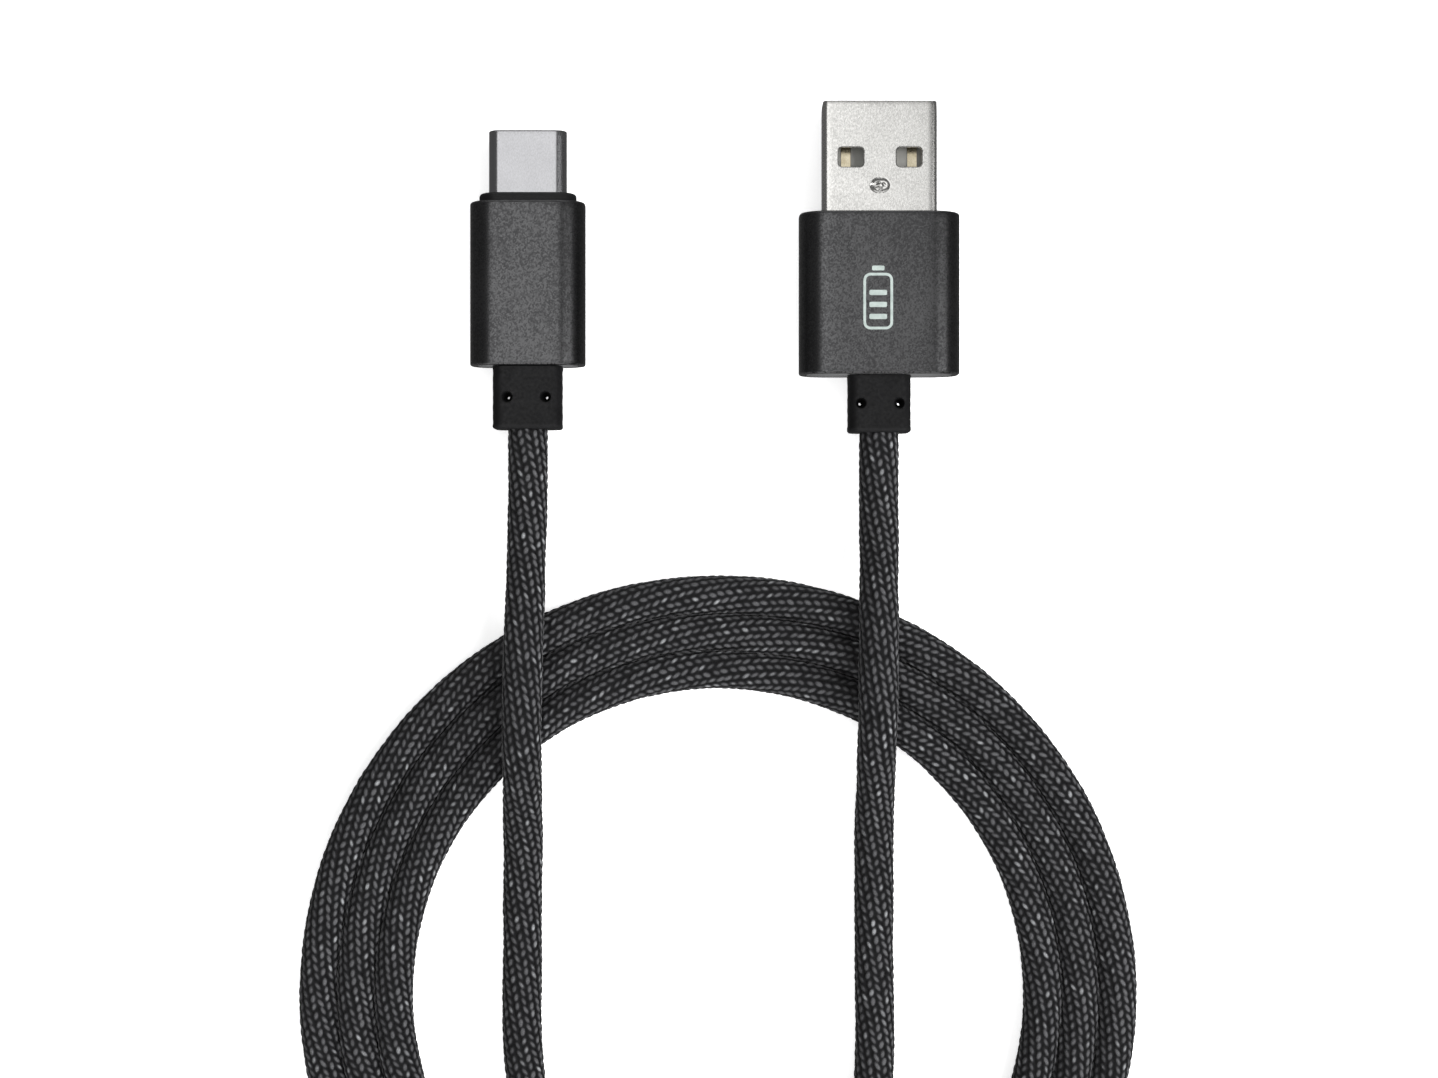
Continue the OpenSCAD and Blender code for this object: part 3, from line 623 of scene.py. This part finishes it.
@dataclass
class Cord:
    """The braided cord: its route, its jacket and its braid.

    Attributes:
        diameter: over the braid.
        jacket: the jacket's radius under the braid.
        floor_radius: the radius at the bottom of the weave.
        rise: how high a float stands over that.
        columns: floats side by side round the cord.
        pitch: length of one float to the next in its column.
        samples: points round the cord.
        step: spacing of the rows of points.
        twist: how fast the columns turn round the cord, radians each millimetre.
        float_size: a float's half width and half length.
        lean: how far the floats lean to either side, degrees.
        pieces: lengths that the still part of the braid is made in.
        split_y: where the stretches next to the plugs meet the still part.
        tucked: rows of points that run on into each boot.
        line: the route's points.
        run: how far along the route each of them lies.
    """

    diameter: float = 4.1
    jacket: float = 1.7
    floor_radius: float = 1.76
    rise: float = 0.36
    columns: int = 16
    pitch: float = 0.92
    samples: int = 96
    step: float = 0.13
    twist: float = 0.0922
    float_size: tuple[float, float] = (0.42, 0.78)
    lean: float = 24.0
    pieces: int = 8
    split_y: float = -31.0
    tucked: int = 5
    ring_centre: tuple[float, float] = (0.4, -77.0)
    ring_radius: float = 34.55
    ring_height: float = 2.1
    turn_step: float = 3.95
    line: Array = field(init=False)
    run: Array = field(init=False)

    LEAD_C = (
        (-19.75, -17, 3.1), (-19.75, -21, 3.1), (-19.8, -26, 3.1), (-19.9, -31, 3.8),
        (-19.9, -35, 5.1), (-20, -39, 6.2), (-20.1, -44.5, 6.6), (-20.2, -49.5, 6.3),
        (-20.2, -53, 5.2), (-20.3, -57, 3.5), (-20.3, -61.5, 2.4), (-20.4, -66, 2.1),
        (-20.4, -73, 2.1), (-20.4, -82, 2.1), (-18.8, -91.2, 2.1), (-14.1, -99.2, 2.1),
        (-7, -105.2, 2.1), (1.7, -108.4, 2.1), (11.1, -108.4, 2.1), (19.8, -105.2, 2.1),
        (23.6, -102.5, 2.1),
    )
    LEAD_A = (
        (17.4, -17.4, 3.8), (17.4, -21, 3.8), (17.4, -26, 3.7), (17.4, -31, 4.4),
        (17.3, -34, 5.3), (17.3, -37.5, 6.25), (17.2, -42.5, 6.6), (17.2, -47, 6.3),
        (17.1, -50.5, 5.2), (17.1, -54.5, 3.5), (17, -59, 2.4), (17, -64, 2.1),
        (17, -74, 2.1), (17, -85, 2.1), (16, -92.3, 2.2), (14.3, -97, 3),
        (11.9, -101.2, 4.4), (8.7, -105, 5.7), (4.9, -108.2, 6.25), (0.7, -110.6, 6.25),
        (-6.4, -112.9, 6.25), (-13.8, -113.2, 6.25), (-21, -111.6, 6.1), (-25.4, -109.5, 5.2),
        (-29.5, -106.7, 3.6), (-32.5, -103.8, 2.4),
    )

    def __post_init__(self) -> None:
        """Lay the route: a natural cubic spline through the points, then even steps along it."""
        knots = np.vstack([self.LEAD_C, self.ring(), self.LEAD_A[::-1]])
        fine = self.spline(knots, 0.05)
        reach = np.concatenate([[0], np.cumsum(np.linalg.norm(np.diff(fine, axis=0), axis=1))])
        count = int(reach[-1] / self.step)
        self.run = np.linspace(0, reach[-1], count + 1)
        self.line = np.stack([np.interp(self.run, reach, fine[:, i]) for i in range(3)], 1)
        tuck = np.arange(-self.tucked, 0) * self.step
        head = self.line[0] + tuck[:, None] * unit(self.line[1] - self.line[0])
        tail = self.line[-1] - tuck[::-1, None] * unit(self.line[-1] - self.line[-2])
        self.line = np.vstack([head, self.line, tail])
        self.run = np.concatenate([tuck, self.run, self.run[-1] - tuck[::-1]])

    def ring(self) -> Array:
        """Give the coil's points: a circle flat on the table that eases out by a turn's step twice."""
        degrees = np.linspace(320, 1294, 99)
        outward = smooth((degrees - 605) / 60) + smooth((degrees - 965) / 60)
        radius = self.ring_radius + self.turn_step * outward
        turn = np.radians(degrees)
        x = self.ring_centre[0] + radius * np.cos(turn)
        y = self.ring_centre[1] + radius * np.sin(turn)
        return np.stack([x, y, np.full_like(x, self.ring_height)], 1)

    @staticmethod
    def spline(knots: Array, step: float) -> Array:
        """Draw a natural cubic spline: second derivatives from the tridiagonal system on chord lengths."""
        t = np.concatenate([[0], np.cumsum(np.linalg.norm(np.diff(knots, axis=0), axis=1))])
        n, h = len(t), np.diff(t)
        i = np.arange(1, n - 1)
        system, right = np.zeros((n, n)), np.zeros((n, 3))
        system[0, 0] = system[-1, -1] = 1
        system[i, i - 1], system[i, i], system[i, i + 1] = h[:-1], 2 * (h[:-1] + h[1:]), h[1:]
        slope = np.diff(knots, axis=0) / h[:, None]
        right[1:-1] = 6 * np.diff(slope, axis=0)
        bend = np.linalg.solve(system, right)
        s = np.linspace(0, t[-1], int(t[-1] / step))
        k = np.clip(np.searchsorted(t, s, side="right") - 1, 0, n - 2)
        a, b = ((t[k + 1] - s) / h[k])[:, None], ((s - t[k]) / h[k])[:, None]
        curve = ((a**3 - a) * bend[k] + (b**3 - b) * bend[k + 1]) * (h[k] ** 2)[:, None] / 6
        return a * knots[k] + b * knots[k + 1] + curve

    def cross(self) -> tuple[Array, Array]:
        """Give the sideways and upward directions: tangent by vertical, then that by the tangent."""
        tangent = unit(np.gradient(self.line, axis=0))
        side = unit(np.cross(tangent, [0.0, 0.0, 1.0]))
        return side, np.cross(side, tangent)

    def weave(self, s: Array, column: Array) -> tuple[Array, Array]:
        """Work out the height of the weave.

        Each float is a dome: the square root of one less (across / half width) squared less (along / half
        length) squared. Floats stand one pitch apart in a column, the odd columns half a pitch further on,
        and lean to alternate sides. The highest of the nine nearest floats shows. Each is set a little off
        its place, its lean and its height by its own random numbers.

        Args:
            s: distance along the cord, one for each row.
            column: place round the cord in columns, one for each sample.

        Returns:
            The height from 0 to about 1, and each float's own random number from 0 to 1.
        """
        width = math.pi * self.diameter / self.columns
        count = int(self.run[-1] / self.pitch) + 20
        table = np.random.default_rng(7).random((self.columns, count, 5)).astype(np.float32)
        half_width, half_length = self.float_size
        s, x = s[:, None], column[None, :]
        height = np.zeros((s.shape[0], x.shape[1]))
        glint_pick = np.zeros_like(height)
        for beside in (-1, 0, 1):
            k = np.round(x) + beside
            odd = np.mod(k, 2)
            f = s / self.pitch - 0.5 * odd
            for ahead in (-1, 0, 1):
                m = np.round(f) + ahead
                own = table[np.mod(k, self.columns).astype(int), m.astype(int) + 9]
                dx = (x - k) * width + 0.08 * (own[..., 0] - 0.5)
                dy = (f - m) * self.pitch + 0.16 * (own[..., 1] - 0.5)
                lean = math.radians(self.lean) * (1 - 2 * odd) + 0.3 * (own[..., 2] - 0.5)
                across = dx * np.cos(lean) - dy * np.sin(lean)
                along = dx * np.sin(lean) + dy * np.cos(lean)
                dome = np.sqrt(np.maximum(1 - (across / half_width) ** 2 - (along / half_length) ** 2, 0))
                dome *= 0.93 + 0.1 * own[..., 3]
                glint_pick = np.where(dome > height, own[..., 4], glint_pick)
                height = np.maximum(height, dome)
        return height, glint_pick

    def braid(self, name: str, rows: slice) -> Piece:
        """Make one length of braid: a row of points round each point of the route, at the weave's radius."""
        side, up = self.cross()
        s, centre, side, up = self.run[rows], self.line[rows], side[rows], up[rows]
        share = np.arange(self.samples) / self.samples
        height, glint_pick = self.weave(s, share * self.columns)
        angle = 2 * math.pi * share[None, :] + self.twist * s[:, None]
        slow = 0.02 * np.sin(s[:, None] / 3.1 + 2 * angle) + 0.015 * np.sin(s[:, None] / 1.3)
        radius = (self.floor_radius + self.rise * height + slow)[..., None]
        around = np.cos(angle)[..., None] * side[:, None] + np.sin(angle)[..., None] * up[:, None]
        marks = {"weave": height, "glint_pick": glint_pick}
        piece = grid_mesh(name, centre[:, None] + radius * around, YARN, marks=marks)
        log.info("%s: %d rows", name, len(s))
        return piece

    def still_rows(self) -> tuple[int, int]:
        """Give the first and the last row of the stretch that doesn't bend."""
        still = np.flatnonzero(self.line[:, 1] < self.split_y)
        return int(still[0]), int(still[-1])

    def core_rows(self) -> Array:
        """Give the rows that the jacket under the still braid is drawn on: every eighth, and the last."""
        first, last = self.still_rows()
        return np.unique(np.append(np.arange(first, last, 8), last))

    def build(self) -> tuple[Piece, list[Piece]]:
        """Make the jacket, the still braid and the two stretches next to the plugs.

        Returns:
            The jacket, and the pieces of braid on it.
        """
        first, last = self.still_rows()
        cuts = np.linspace(first, last, self.pieces + 1).astype(int)
        braids = [
            self.braid(f"cord_braid_{i + 1}", slice(cuts[i], cuts[i + 1] + 1)) for i in range(self.pieces)
        ]
        for piece in braids:
            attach(piece, Body.CORD.value)
        ends = (
            ("usb_c_flex_braid", slice(0, first + 1), "usb_c_flex_lead", Body.PLUG_C, self.LEAD_C),
            ("usb_a_flex_braid", slice(last, len(self.line)), "usb_a_flex_lead", Body.PLUG_A, self.LEAD_A),
        )
        for name, rows, node, body, lead in ends:
            piece = self.braid(name, rows)
            x, y, z = lead[0]
            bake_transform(piece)
            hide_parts(node)
            braids.append(piece)
        side, up = self.cross()
        rows = self.core_rows()
        turn = np.linspace(0, 2 * math.pi, 24, endpoint=False)[None, :, None]
        tube = np.cos(turn) * side[rows][:, None] + np.sin(turn) * up[rows][:, None]
        jacket = grid_mesh("cord_jacket", self.line[rows][:, None] + self.jacket * tube, JACKET)
        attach(jacket, Body.CORD.value)
        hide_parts("cord_coil", "usb_a_lead", "usb_c_lead")
        return jacket, braids

    def declare(self, jacket: Piece, pieces: list[Piece]) -> None:
        """Work out the cord's exit and its path, and list what is on it; nothing is done with them."""
        exit_point = tuple(c * MM for c in self.LEAD_C[0])
        path = (self.line[self.core_rows()] * MM).tolist()
        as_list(pieces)


# ---------------------------------------------------------------- plugs

# Where the samples on a boot's upper and lower flats lie, from 0 to 1: close, so that the rubber can ripple.
FLATS = tuple(np.linspace(0.04, 0.96, 22).tolist())


@dataclass
class Plug:
    """What both plugs share: a metal sleeve, the plate that closes it and the soft boot behind.

    Attributes:
        prefix: the start of the CAD nodes' names.
        body: what the pieces move with.
        sleeve_radius: corner radius of the sleeve.
        sleeve_wall: its wall.
        sleeve_edges: radii of its outer rear, outer front, inner front and inner rear edges.
        plate_gap: play round the end plate.
        boot: the boot's section.
        neck: how much thinner the boot is where it passes the plate.
        hole_gap: half the distance between the boot's two holes.
        hole_radius: radius of each hole.
        recess: radius of the socket that the cord enters.
    """

    prefix: str
    body: Body
    sleeve_radius: float
    boot: Section
    sleeve_wall: float = 0.72
    sleeve_edges: tuple[float, ...] = (0.22, 0.3, 0.12, 0.1)
    plate_gap: float = 0.05
    neck: float = 0.6
    hole_gap: float = 2.03
    hole_radius: float = 0.55
    recess: float = 2.17

    def place(self, piece: Piece, part: str, slot: str) -> Piece:
        """Make a piece ride with the plug and stand for its CAD node."""
        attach(piece, self.body.value)
        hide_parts(f"{self.prefix}_{part}")
        log.info("%s", piece.name)
        return piece

    def axis(self) -> tuple[float, float]:
        """Give the plug's axis, X and Z, from the middle of its sleeve."""
        low, high = box_mm(f"{self.prefix}_sleeve")
        return (low[0] + high[0]) / 2, (low[2] + high[2]) / 2

    def sleeve(self) -> Piece:
        """Make the sleeve: a line round the wall, its four edges rounded, carried round the section."""
        rear, front, section = envelope(f"{self.prefix}_sleeve", self.sleeve_radius)
        wall = self.sleeve_wall
        middle = [(y, 0.0, 0.0) for y in np.linspace(rear + 1, front - 1, 9)]
        out_rear, out_front, in_front, in_rear = self.sleeve_edges
        corners = [(front, 0, out_front), (front, wall, in_front), (rear, wall, in_rear)]
        line, rim = rounded([(rear, 0, out_rear), *middle, *corners], True)
        grid = stack(self.axis(), line[:, 0], section.outline(line[:, 1]))
        # Only the outer rear edge was cut after anodising. The others are just rubbed a little pale.
        at_rear = (line[:, 0] < rear + 1) & (line[:, 1] < wall / 2)
        rubbed = 0.35 * rim
        edge = np.where(at_rear, rim, rubbed)[:, None] * np.ones(grid.shape[1])
        piece = grid_mesh(f"{self.prefix}_sleeve_body", grid, ANODISED, ring=True, marks={"edge": edge})
        return self.place(piece, "sleeve", "anodised_sleeve")

    def end_plate(self) -> Piece:
        """Make the end plate: the bore's outline outside, the boot's neck inside, flat faces between."""
        radius, fillet = self.sleeve_radius - self.sleeve_wall - self.plate_gap, 0.12
        rear, front, outer = envelope(f"{self.prefix}_end_plate", radius, top=FLATS)
        t = np.linspace(0, math.pi / 2, 6)
        y = np.concatenate([[front], rear + fillet * (1 - np.sin(t)), [rear, front]])
        opening = self.boot.outline(np.full(2, self.neck - self.plate_gap))
        rings = np.concatenate([outer.outline(np.append(0, fillet * (1 - np.cos(t)))), opening])
        # The rounded rear edge takes the plate's darker edge colour: painted shade on the bevel all the way
        # round.
        edge = np.zeros(rings.shape[:2])
        edge[1 : 1 + len(t)] = 1
        grid = stack(self.axis(), y, rings)
        piece = grid_mesh(f"{self.prefix}_end_plate_body", grid, CUT_PLATE, ring=True, marks={"edge": edge})
        crease(piece)
        return self.place(piece, "end_plate", "end_plate_gloss")

    def strain_relief(self) -> Piece:
        """Make the boot: a neck inside the sleeve, a rounded block behind it, a round socket for the cord.

        The block is drawn in by 1 % and by 0.4 times two slow waves of up to 0.8 % and 0.6 %, as rubber
        shrinks in its mould. Its ends stay as they are.
        """
        rear, step = (box_mm(f"{self.prefix}_{part}")[0][1] for part in ("strain_relief", "end_plate"))
        ax, az = self.axis()
        neck_long, lap, shoulder, soft, side_rows = 1.6, 0.02, 0.12, 0.32, 36
        foot = (rear + 0.6, 0.04, 0)
        line, _ = rounded([(step - lap, self.neck, 0), (step - lap, 0.0, shoulder), foot], False)
        side_y = np.linspace(step - 0.3, rear + soft + lap, side_rows)
        t = np.linspace(0, math.pi / 2, 7)
        y = [[step + neck_long, step - lap], line[1:-1, 0], side_y, rear + soft * (1 - np.sin(t))]
        inset = [[self.neck] * 2, line[1:-1, 1], np.zeros(side_rows), soft * (1 - np.cos(t))]
        # The socket's depth, and how much wider than its bore it is there.
        socket = ((0.0, 0.15), (0.05, 0.04), (0.15, 0.0), (0.8, 0.0))
        rings = [self.boot.outline(np.concatenate(inset))]
        rings += [self.boot.circle(self.recess + flare) for _, flare in socket]
        y = np.concatenate([*y, [rear + depth for depth, _ in socket]])
        grid = stack((0.0, 0.0), y, np.concatenate(rings))
        across, along, up = np.moveaxis(grid, -1, 0)
        wave = 0.008 * np.sin(6.1 * along + 1.7 * np.sin(1.1 * across + 0.4 * up))
        wave += 0.006 * np.sin(3.3 * across - 2.3 * along + 1.0)
        ends = (along > step - 0.4) | (along < rear + 0.5)
        grid[..., [0, 2]] *= 1 - np.where(ends, 0, 0.01 + wave * 0.4)[..., None]
        grid += [ax, 0, az]
        outside = (np.arange(len(y)) < len(y) - 3)[:, None]
        edge = np.where((grid[..., 1] < rear + 0.35) & outside, 1.0, 0.0)
        piece = grid_mesh(f"{self.prefix}_boot", grid, BOOT_RUBBER, marks={"edge": edge})
        # The two holes flare at their mouths and narrow at mid depth, so less of the table shows through.
        half = self.boot.height / 2
        drill = Section(2 * self.hole_radius, 2 * self.hole_radius, self.hole_radius - 0.005, (0.5,), 8)
        upper = np.array([0.6, half - 0.1, half, half + 0.3])
        reach = [0.25, 0.08, 0, -0.4, -0.4, 0, 0.08, 0.25]
        tools = []
        for way in (-1, 1):
            at = (ax + way * self.hole_gap, (step + rear) / 2)
            heights = [*(az - upper[::-1]), *(az + upper)]
            tools.append(grid_mesh("drill", rod(at, heights, reach, drill), BOOT_RUBBER))
        cut(piece, tools)
        crease(piece, 40)
        return self.place(piece, "strain_relief", "boot_rubber")


@dataclass
class UsbAPlug(Plug):
    """The USB-A plug: a folded shell with four windows and a punched dimple, and a printed mark.

    The windows and the mark stand at an X from the plug's axis. The dimple's size is its half width and half
    length, and the mark's is its case's width and length.
    """

    prefix: str = "usb_a"
    body: Body = Body.PLUG_A
    sleeve_radius: float = 3.05
    boot: Section = Section(6.6, 5.0, 1.2, FLATS)
    shell_wall: float = 0.3
    shell_radius: float = 0.6
    window: Section = Section(2.65, 2.05, 0.42, (0.5,), 8)
    window_x: float = 3.05
    window_y: float = 11.475
    dimple_y: float = 8.5
    dimple_size: tuple[float, float] = (1.05, 0.8)
    mark_at: tuple[float, float] = (-0.3, -3.8)
    mark_size: tuple[float, float] = (3.1, 5.9)
    mark_line: float = 0.28

    def shell(self) -> Piece:
        """Make the shell: one thin wall folded round, pressed in at the dimple, windows through both flats.

        The dimple is a crater: the flat sinks by 0.26 mm times a power of (1 less rho squared), where rho is
        the distance from its middle over its half size. Where rho is 0.42 a burr of 0.03 to 0.13 mm stands
        on that, uneven in three places round the ring.
        """
        low, high = box_mm("usb_a_shell")
        wall, height = self.shell_wall, high[2] - low[2]
        # The samples lie close together where the dimple is.
        dense = 0.5 + np.linspace(-1.25, 1.25, 36) / (high[0] - low[0] - 2 * self.shell_radius)
        top = tuple(np.concatenate([[0.04, 0.12, 0.2, 0.29], dense, [0.71, 0.8, 0.88, 0.96]]))
        rear, tip, section = envelope("usb_a_shell", self.shell_radius, top=top, arc=7)
        behind, ahead = (rear + 0.4, self.dimple_y - 1.2), (self.dimple_y + 1.3, tip - 0.5)
        near = self.dimple_y + np.linspace(-1, 1, 30)
        along = np.concatenate([np.linspace(*behind, 10), near, np.linspace(*ahead, 10)])
        outside = [(y, 0.0, 0.0) for y in along]
        inside = [(y, wall, 0.0) for y in along[::-1]]
        lip = [(tip, 0, 0.12), (tip, wall, 0.09)]
        line, _ = rounded([(rear, 0, 0.08), *outside, *lip, *inside, (rear, wall, 0.05)], True, 5)
        # The tip leans in by 0.03 mm over its last 0.8 mm, as a lead-in for the port.
        lead_in = 0.03 * smooth((line[:, 0] - tip + 0.8) / 0.8)
        axis = self.axis()
        grid = stack(axis, line[:, 0], section.outline(line[:, 1] + lead_in))
        dx, dy = grid[..., 0] - axis[0], grid[..., 1] - self.dimple_y
        rho = np.hypot(dx / self.dimple_size[0], dy / self.dimple_size[1])
        burr = 0.08 + 0.05 * np.sin(3 * np.arctan2(dy, dx) + 0.7)
        crater = 0.26 * np.maximum(1 - rho**2, 0) ** 0.8 - burr * np.exp(-(((rho - 0.42) / 0.14) ** 2))
        crater = np.where(rho < 1, crater, 0) * (grid[..., 2] > axis[1] + height / 2 - wall - 0.02)
        grid[..., 2] -= crater
        piece = grid_mesh("usb_a_shell_body", grid, NICKEL, ring=True)
        z_low, z_high = low[2], high[2]
        heights = [z_low - 0.2, z_low, z_low + 0.1, z_high - 0.1, z_high, z_high + 0.2]
        tools = []
        for way in (-1, 1):
            at = (axis[0] + way * self.window_x, self.window_y)
            punch = rod(at, heights, [0.3, 0.1, 0, 0, 0.1, 0.3], self.window)
            tools.append(grid_mesh("punch", punch, NICKEL))
        # Underneath, the folded sheet's two edges meet in a fine seam along the middle.
        seam = Section(0.07, tip - rear + 2, 0.03, (0.5,), 3)
        groove = rod((axis[0], (tip + rear) / 2), [z_low - 0.2, z_low + 0.12], [0, 0], seam)
        tools.append(grid_mesh("seam", groove, NICKEL))
        cut(piece, tools)
        crease(piece)
        return self.place(piece, "shell", "nickel_shell")

    def mark(self) -> Piece:
        """Print an upright battery outline with three level bars on the sleeve's upper flat."""
        face = box_mm("usb_a_sleeve")[1][2]
        z_low, z_high = face - 0.01, face + 0.015
        (wide, tall), line = self.mark_size, self.mark_line
        x, y = self.axis()[0] + self.mark_at[0], self.mark_at[1]
        rings = Section(wide, tall, 0.75, (0.5,), 6).outline(np.array([0.0, 0.0, line, line]))
        level = np.broadcast_to(np.array([z_low, z_high, z_high, z_low])[:, None], rings.shape[:2])
        case = np.stack([x + rings[..., 0], y + rings[..., 1], level], -1)
        outline = grid_mesh("usb_a_printed_mark", case, INK, ring=True)
        # The terminal on top and the three bars: how far up each lies, its width and its height.
        bars = [(tall / 2 + 0.5, 1.3, 0.5), *((up, wide - 4.5 * line, 0.55) for up in (-1.6, -0.35, 0.9))]
        others = []
        for up, width, height in bars:
            bar = rod((x, y + up), [z_low, z_high], [0, 0], Section(width, height, 0.15, (0.5,), 4))
            others.append(grid_mesh("bar", bar, INK))
        both = [outline, *others]
        with bpy.context.temp_override(
            active_object=outline, selected_editable_objects=both, selected_objects=both
        ):
            bpy.ops.object.join()
        crease(outline)
        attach(outline, self.body.value)
        log.info("usb_a_printed_mark")
        return outline

    def build(self) -> list[Piece]:
        """Make every outer piece of the plug, and return the sleeve and the boot."""
        self.shell()
        self.mark()
        self.end_plate()
        return [self.sleeve(), self.strain_relief()]


@dataclass
class UsbCPlug(Plug):
    """The USB-C plug: a seamless drawn shell, and a black collar in front of the sleeve."""

    prefix: str = "usb_c"
    body: Body = Body.PLUG_C
    sleeve_radius: float = 2.85
    boot: Section = Section(7.3, 5.0, 1.2, FLATS)
    shell_wall: float = 0.25
    collar_gap: float = 0.04

    def shell(self) -> Piece:
        """Make the shell: a stadium carried along, with a lip rolled round at the mouth."""
        rear, tip, section = envelope("usb_c_shell", arc=16)
        wall = self.shell_wall
        outside = [(y, 0.0, 0.0) for y in np.linspace(rear + 0.5, tip - 0.7, 8)]
        lip = [(tip, 0, 0.16), (tip, wall, 0.08)]
        line, _ = rounded([(rear, 0, 0.05), *outside, *lip, (rear, wall, 0.05)], True)
        grid = stack(self.axis(), line[:, 0], section.outline(line[:, 1]))
        piece = grid_mesh("usb_c_shell_body", grid, DRAWN_STEEL, ring=True)
        return self.place(piece, "shell", "steel_shell")

    def collar(self) -> Piece:
        """Make the collar: its own outline outside with round shoulders, the shell's outline inside."""
        rear, front, outer = envelope("usb_c_collar", arc=16)
        outer = replace(outer, radius=outer.height / 2 - 0.01)
        low, high = box_mm("usb_c_shell")
        wide, _, tall = high - low + self.collar_gap
        inner = Section(wide, tall, tall / 2 - 0.002, arc=16)
        round_off = 0.38
        t = np.linspace(0, math.pi / 2, 8)
        y = np.concatenate([[rear], front - round_off * (1 - np.sin(t)), [front, rear]])
        inset = np.concatenate([[0], round_off * (1 - np.cos(t))])
        rings = np.concatenate([outer.outline(inset), inner.outline(np.zeros(2))])
        # The shoulder is half as rubbed as a worn edge, from a third of the way round it.
        edge = np.zeros(rings.shape[:2])
        edge[3:8] = 0.5
        grid = stack(self.axis(), y, rings)
        piece = grid_mesh("usb_c_collar_body", grid, BLACK_ABS, ring=True, marks={"edge": edge})
        crease(piece)
        return self.place(piece, "collar", "mould_black")

    def build(self) -> list[Piece]:
        """Make every outer piece of the plug, and return the sleeve and the boot."""
        self.shell()
        self.collar()
        self.end_plate()
        return [self.sleeve(), self.strain_relief()]


# ---------------------------------------------------------------- studio


@dataclass(frozen=True)
class Softbox:
    """An area light: its place, the point it faces, its size, its power, and whether metal mirrors it."""

    name: str
    at: tuple[float, float, float]
    towards: tuple[float, float, float]
    size: tuple[float, float]
    watts: float
    mirrored: bool = True

    def build(self) -> None:
        """Hang the light."""
        lamp = bpy.data.lights.new(self.name, "AREA")
        lamp.shape = "RECTANGLE"
        lamp.size, lamp.size_y = self.size
        lamp.energy = self.watts
        light = bpy.data.objects.new(self.name, lamp)
        light.location = self.at
        aim = np.array(self.towards) - np.array(self.at)
        flat = math.hypot(aim[0], aim[1])
        turn = math.atan2(-aim[0], aim[1]) if flat > 1e-9 else 0.0
        light.rotation_euler = (math.atan2(flat, -aim[2]), 0.0, turn)
        light.visible_glossy = self.mirrored
        bpy.context.scene.collection.objects.link(light)


@dataclass
class Studio:
    """Pale floor, soft lights and the camera that looks straight down.

    The eye and the lights are in metres. The surround is the even grey that metal mirrors between them.
    """

    eye: tuple[float, float, float] = (0.0005, -0.0286, 0.267)
    lens: float = 62.3
    floor_size: float = 6000.0
    floor_z: float = -0.05
    surround: str = "#686868"
    lights: tuple[Softbox, ...] = (
        Softbox("overhead softbox", (-0.16, 0.03, 0.75), (-0.16, 0.03, 0.0), (0.52, 0.56), 1.45),
        Softbox("right strip", (0.6, -0.02, 0.68), (0.0, -0.03, 0.0), (0.14, 0.7), 1.1),
        Softbox("front wall", (0.0, 0.95, 0.32), (0.0, 0.0, 0.0), (1.2, 0.5), 1.6),
        Softbox("rear wall", (0.0, -1.0, 0.32), (0.0, 0.0, 0.0), (1.2, 0.5), 1.6),
        Softbox("rear fill", (0.0, -0.7, 0.3), (0.0, -0.02, 0.0), (0.6, 0.3), 4.0, False),
        Softbox("key", (0.55, -0.02, 0.5), (0.0, -0.04, 0.0), (0.6, 0.8), 9.0, False),
    )

    def camera(self) -> None:
        """Set the camera over the cable."""
        lens = bpy.data.cameras.new("camera")
        lens.lens, lens.sensor_width, lens.clip_start = self.lens, 36.0, 0.01
        camera = bpy.data.objects.new("camera", lens)
        camera.location = self.eye
        bpy.context.scene.collection.objects.link(camera)
        bpy.context.scene.camera = camera

    def build(self) -> None:
        """Lay the floor as a sheet with a thin edge, hang the lights and set the surroundings."""
        sheet = Section(self.floor_size, self.floor_size, 20.0, (0.5,), 4)
        floor = grid_mesh("floor", rod((0.0, -50.0), [self.floor_z - 1, self.floor_z], [0, 0], sheet), TABLE)
        crease(floor)
        # The table shows white to the camera but throws no light back, which keeps the cable's flanks dark.
        floor.visible_glossy = floor.visible_diffuse = False
        floor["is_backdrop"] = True
        for light in self.lights:
            light.build()
        world = bpy.data.worlds.new("studio")
        world.use_nodes = True
        world.node_tree.nodes["Background"].inputs["Color"].default_value = linear(self.surround)
        bpy.context.scene.world = world
        bpy.context.scene.view_settings.view_transform = "Standard"


def dress_carried_over() -> None:
    """Give each CAD node that stays its real material."""
    for name, finish in CARRIED_OVER.items():
        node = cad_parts[name]
        node.data.materials.clear()
        node.data.materials.append(finish.material())
        log.info("%s: %s", name, finish.name)


def main() -> None:
    """Build the studio, the cord and the two plugs, in that order."""
    logging.basicConfig(level=logging.INFO, format="%(name)s: %(message)s")
    studio = Studio()
    studio.camera()
    cord = Cord()
    jacket, on_cord = cord.build()
    on_cord += UsbAPlug().build()
    on_cord += UsbCPlug().build()
    cord.declare(jacket, on_cord)
    dress_carried_over()
    studio.build()
    sizes = [[list(map(float, corner)) for corner in box] for box in (CAD_BOX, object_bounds())]


if __name__ == "__main__":
    main()
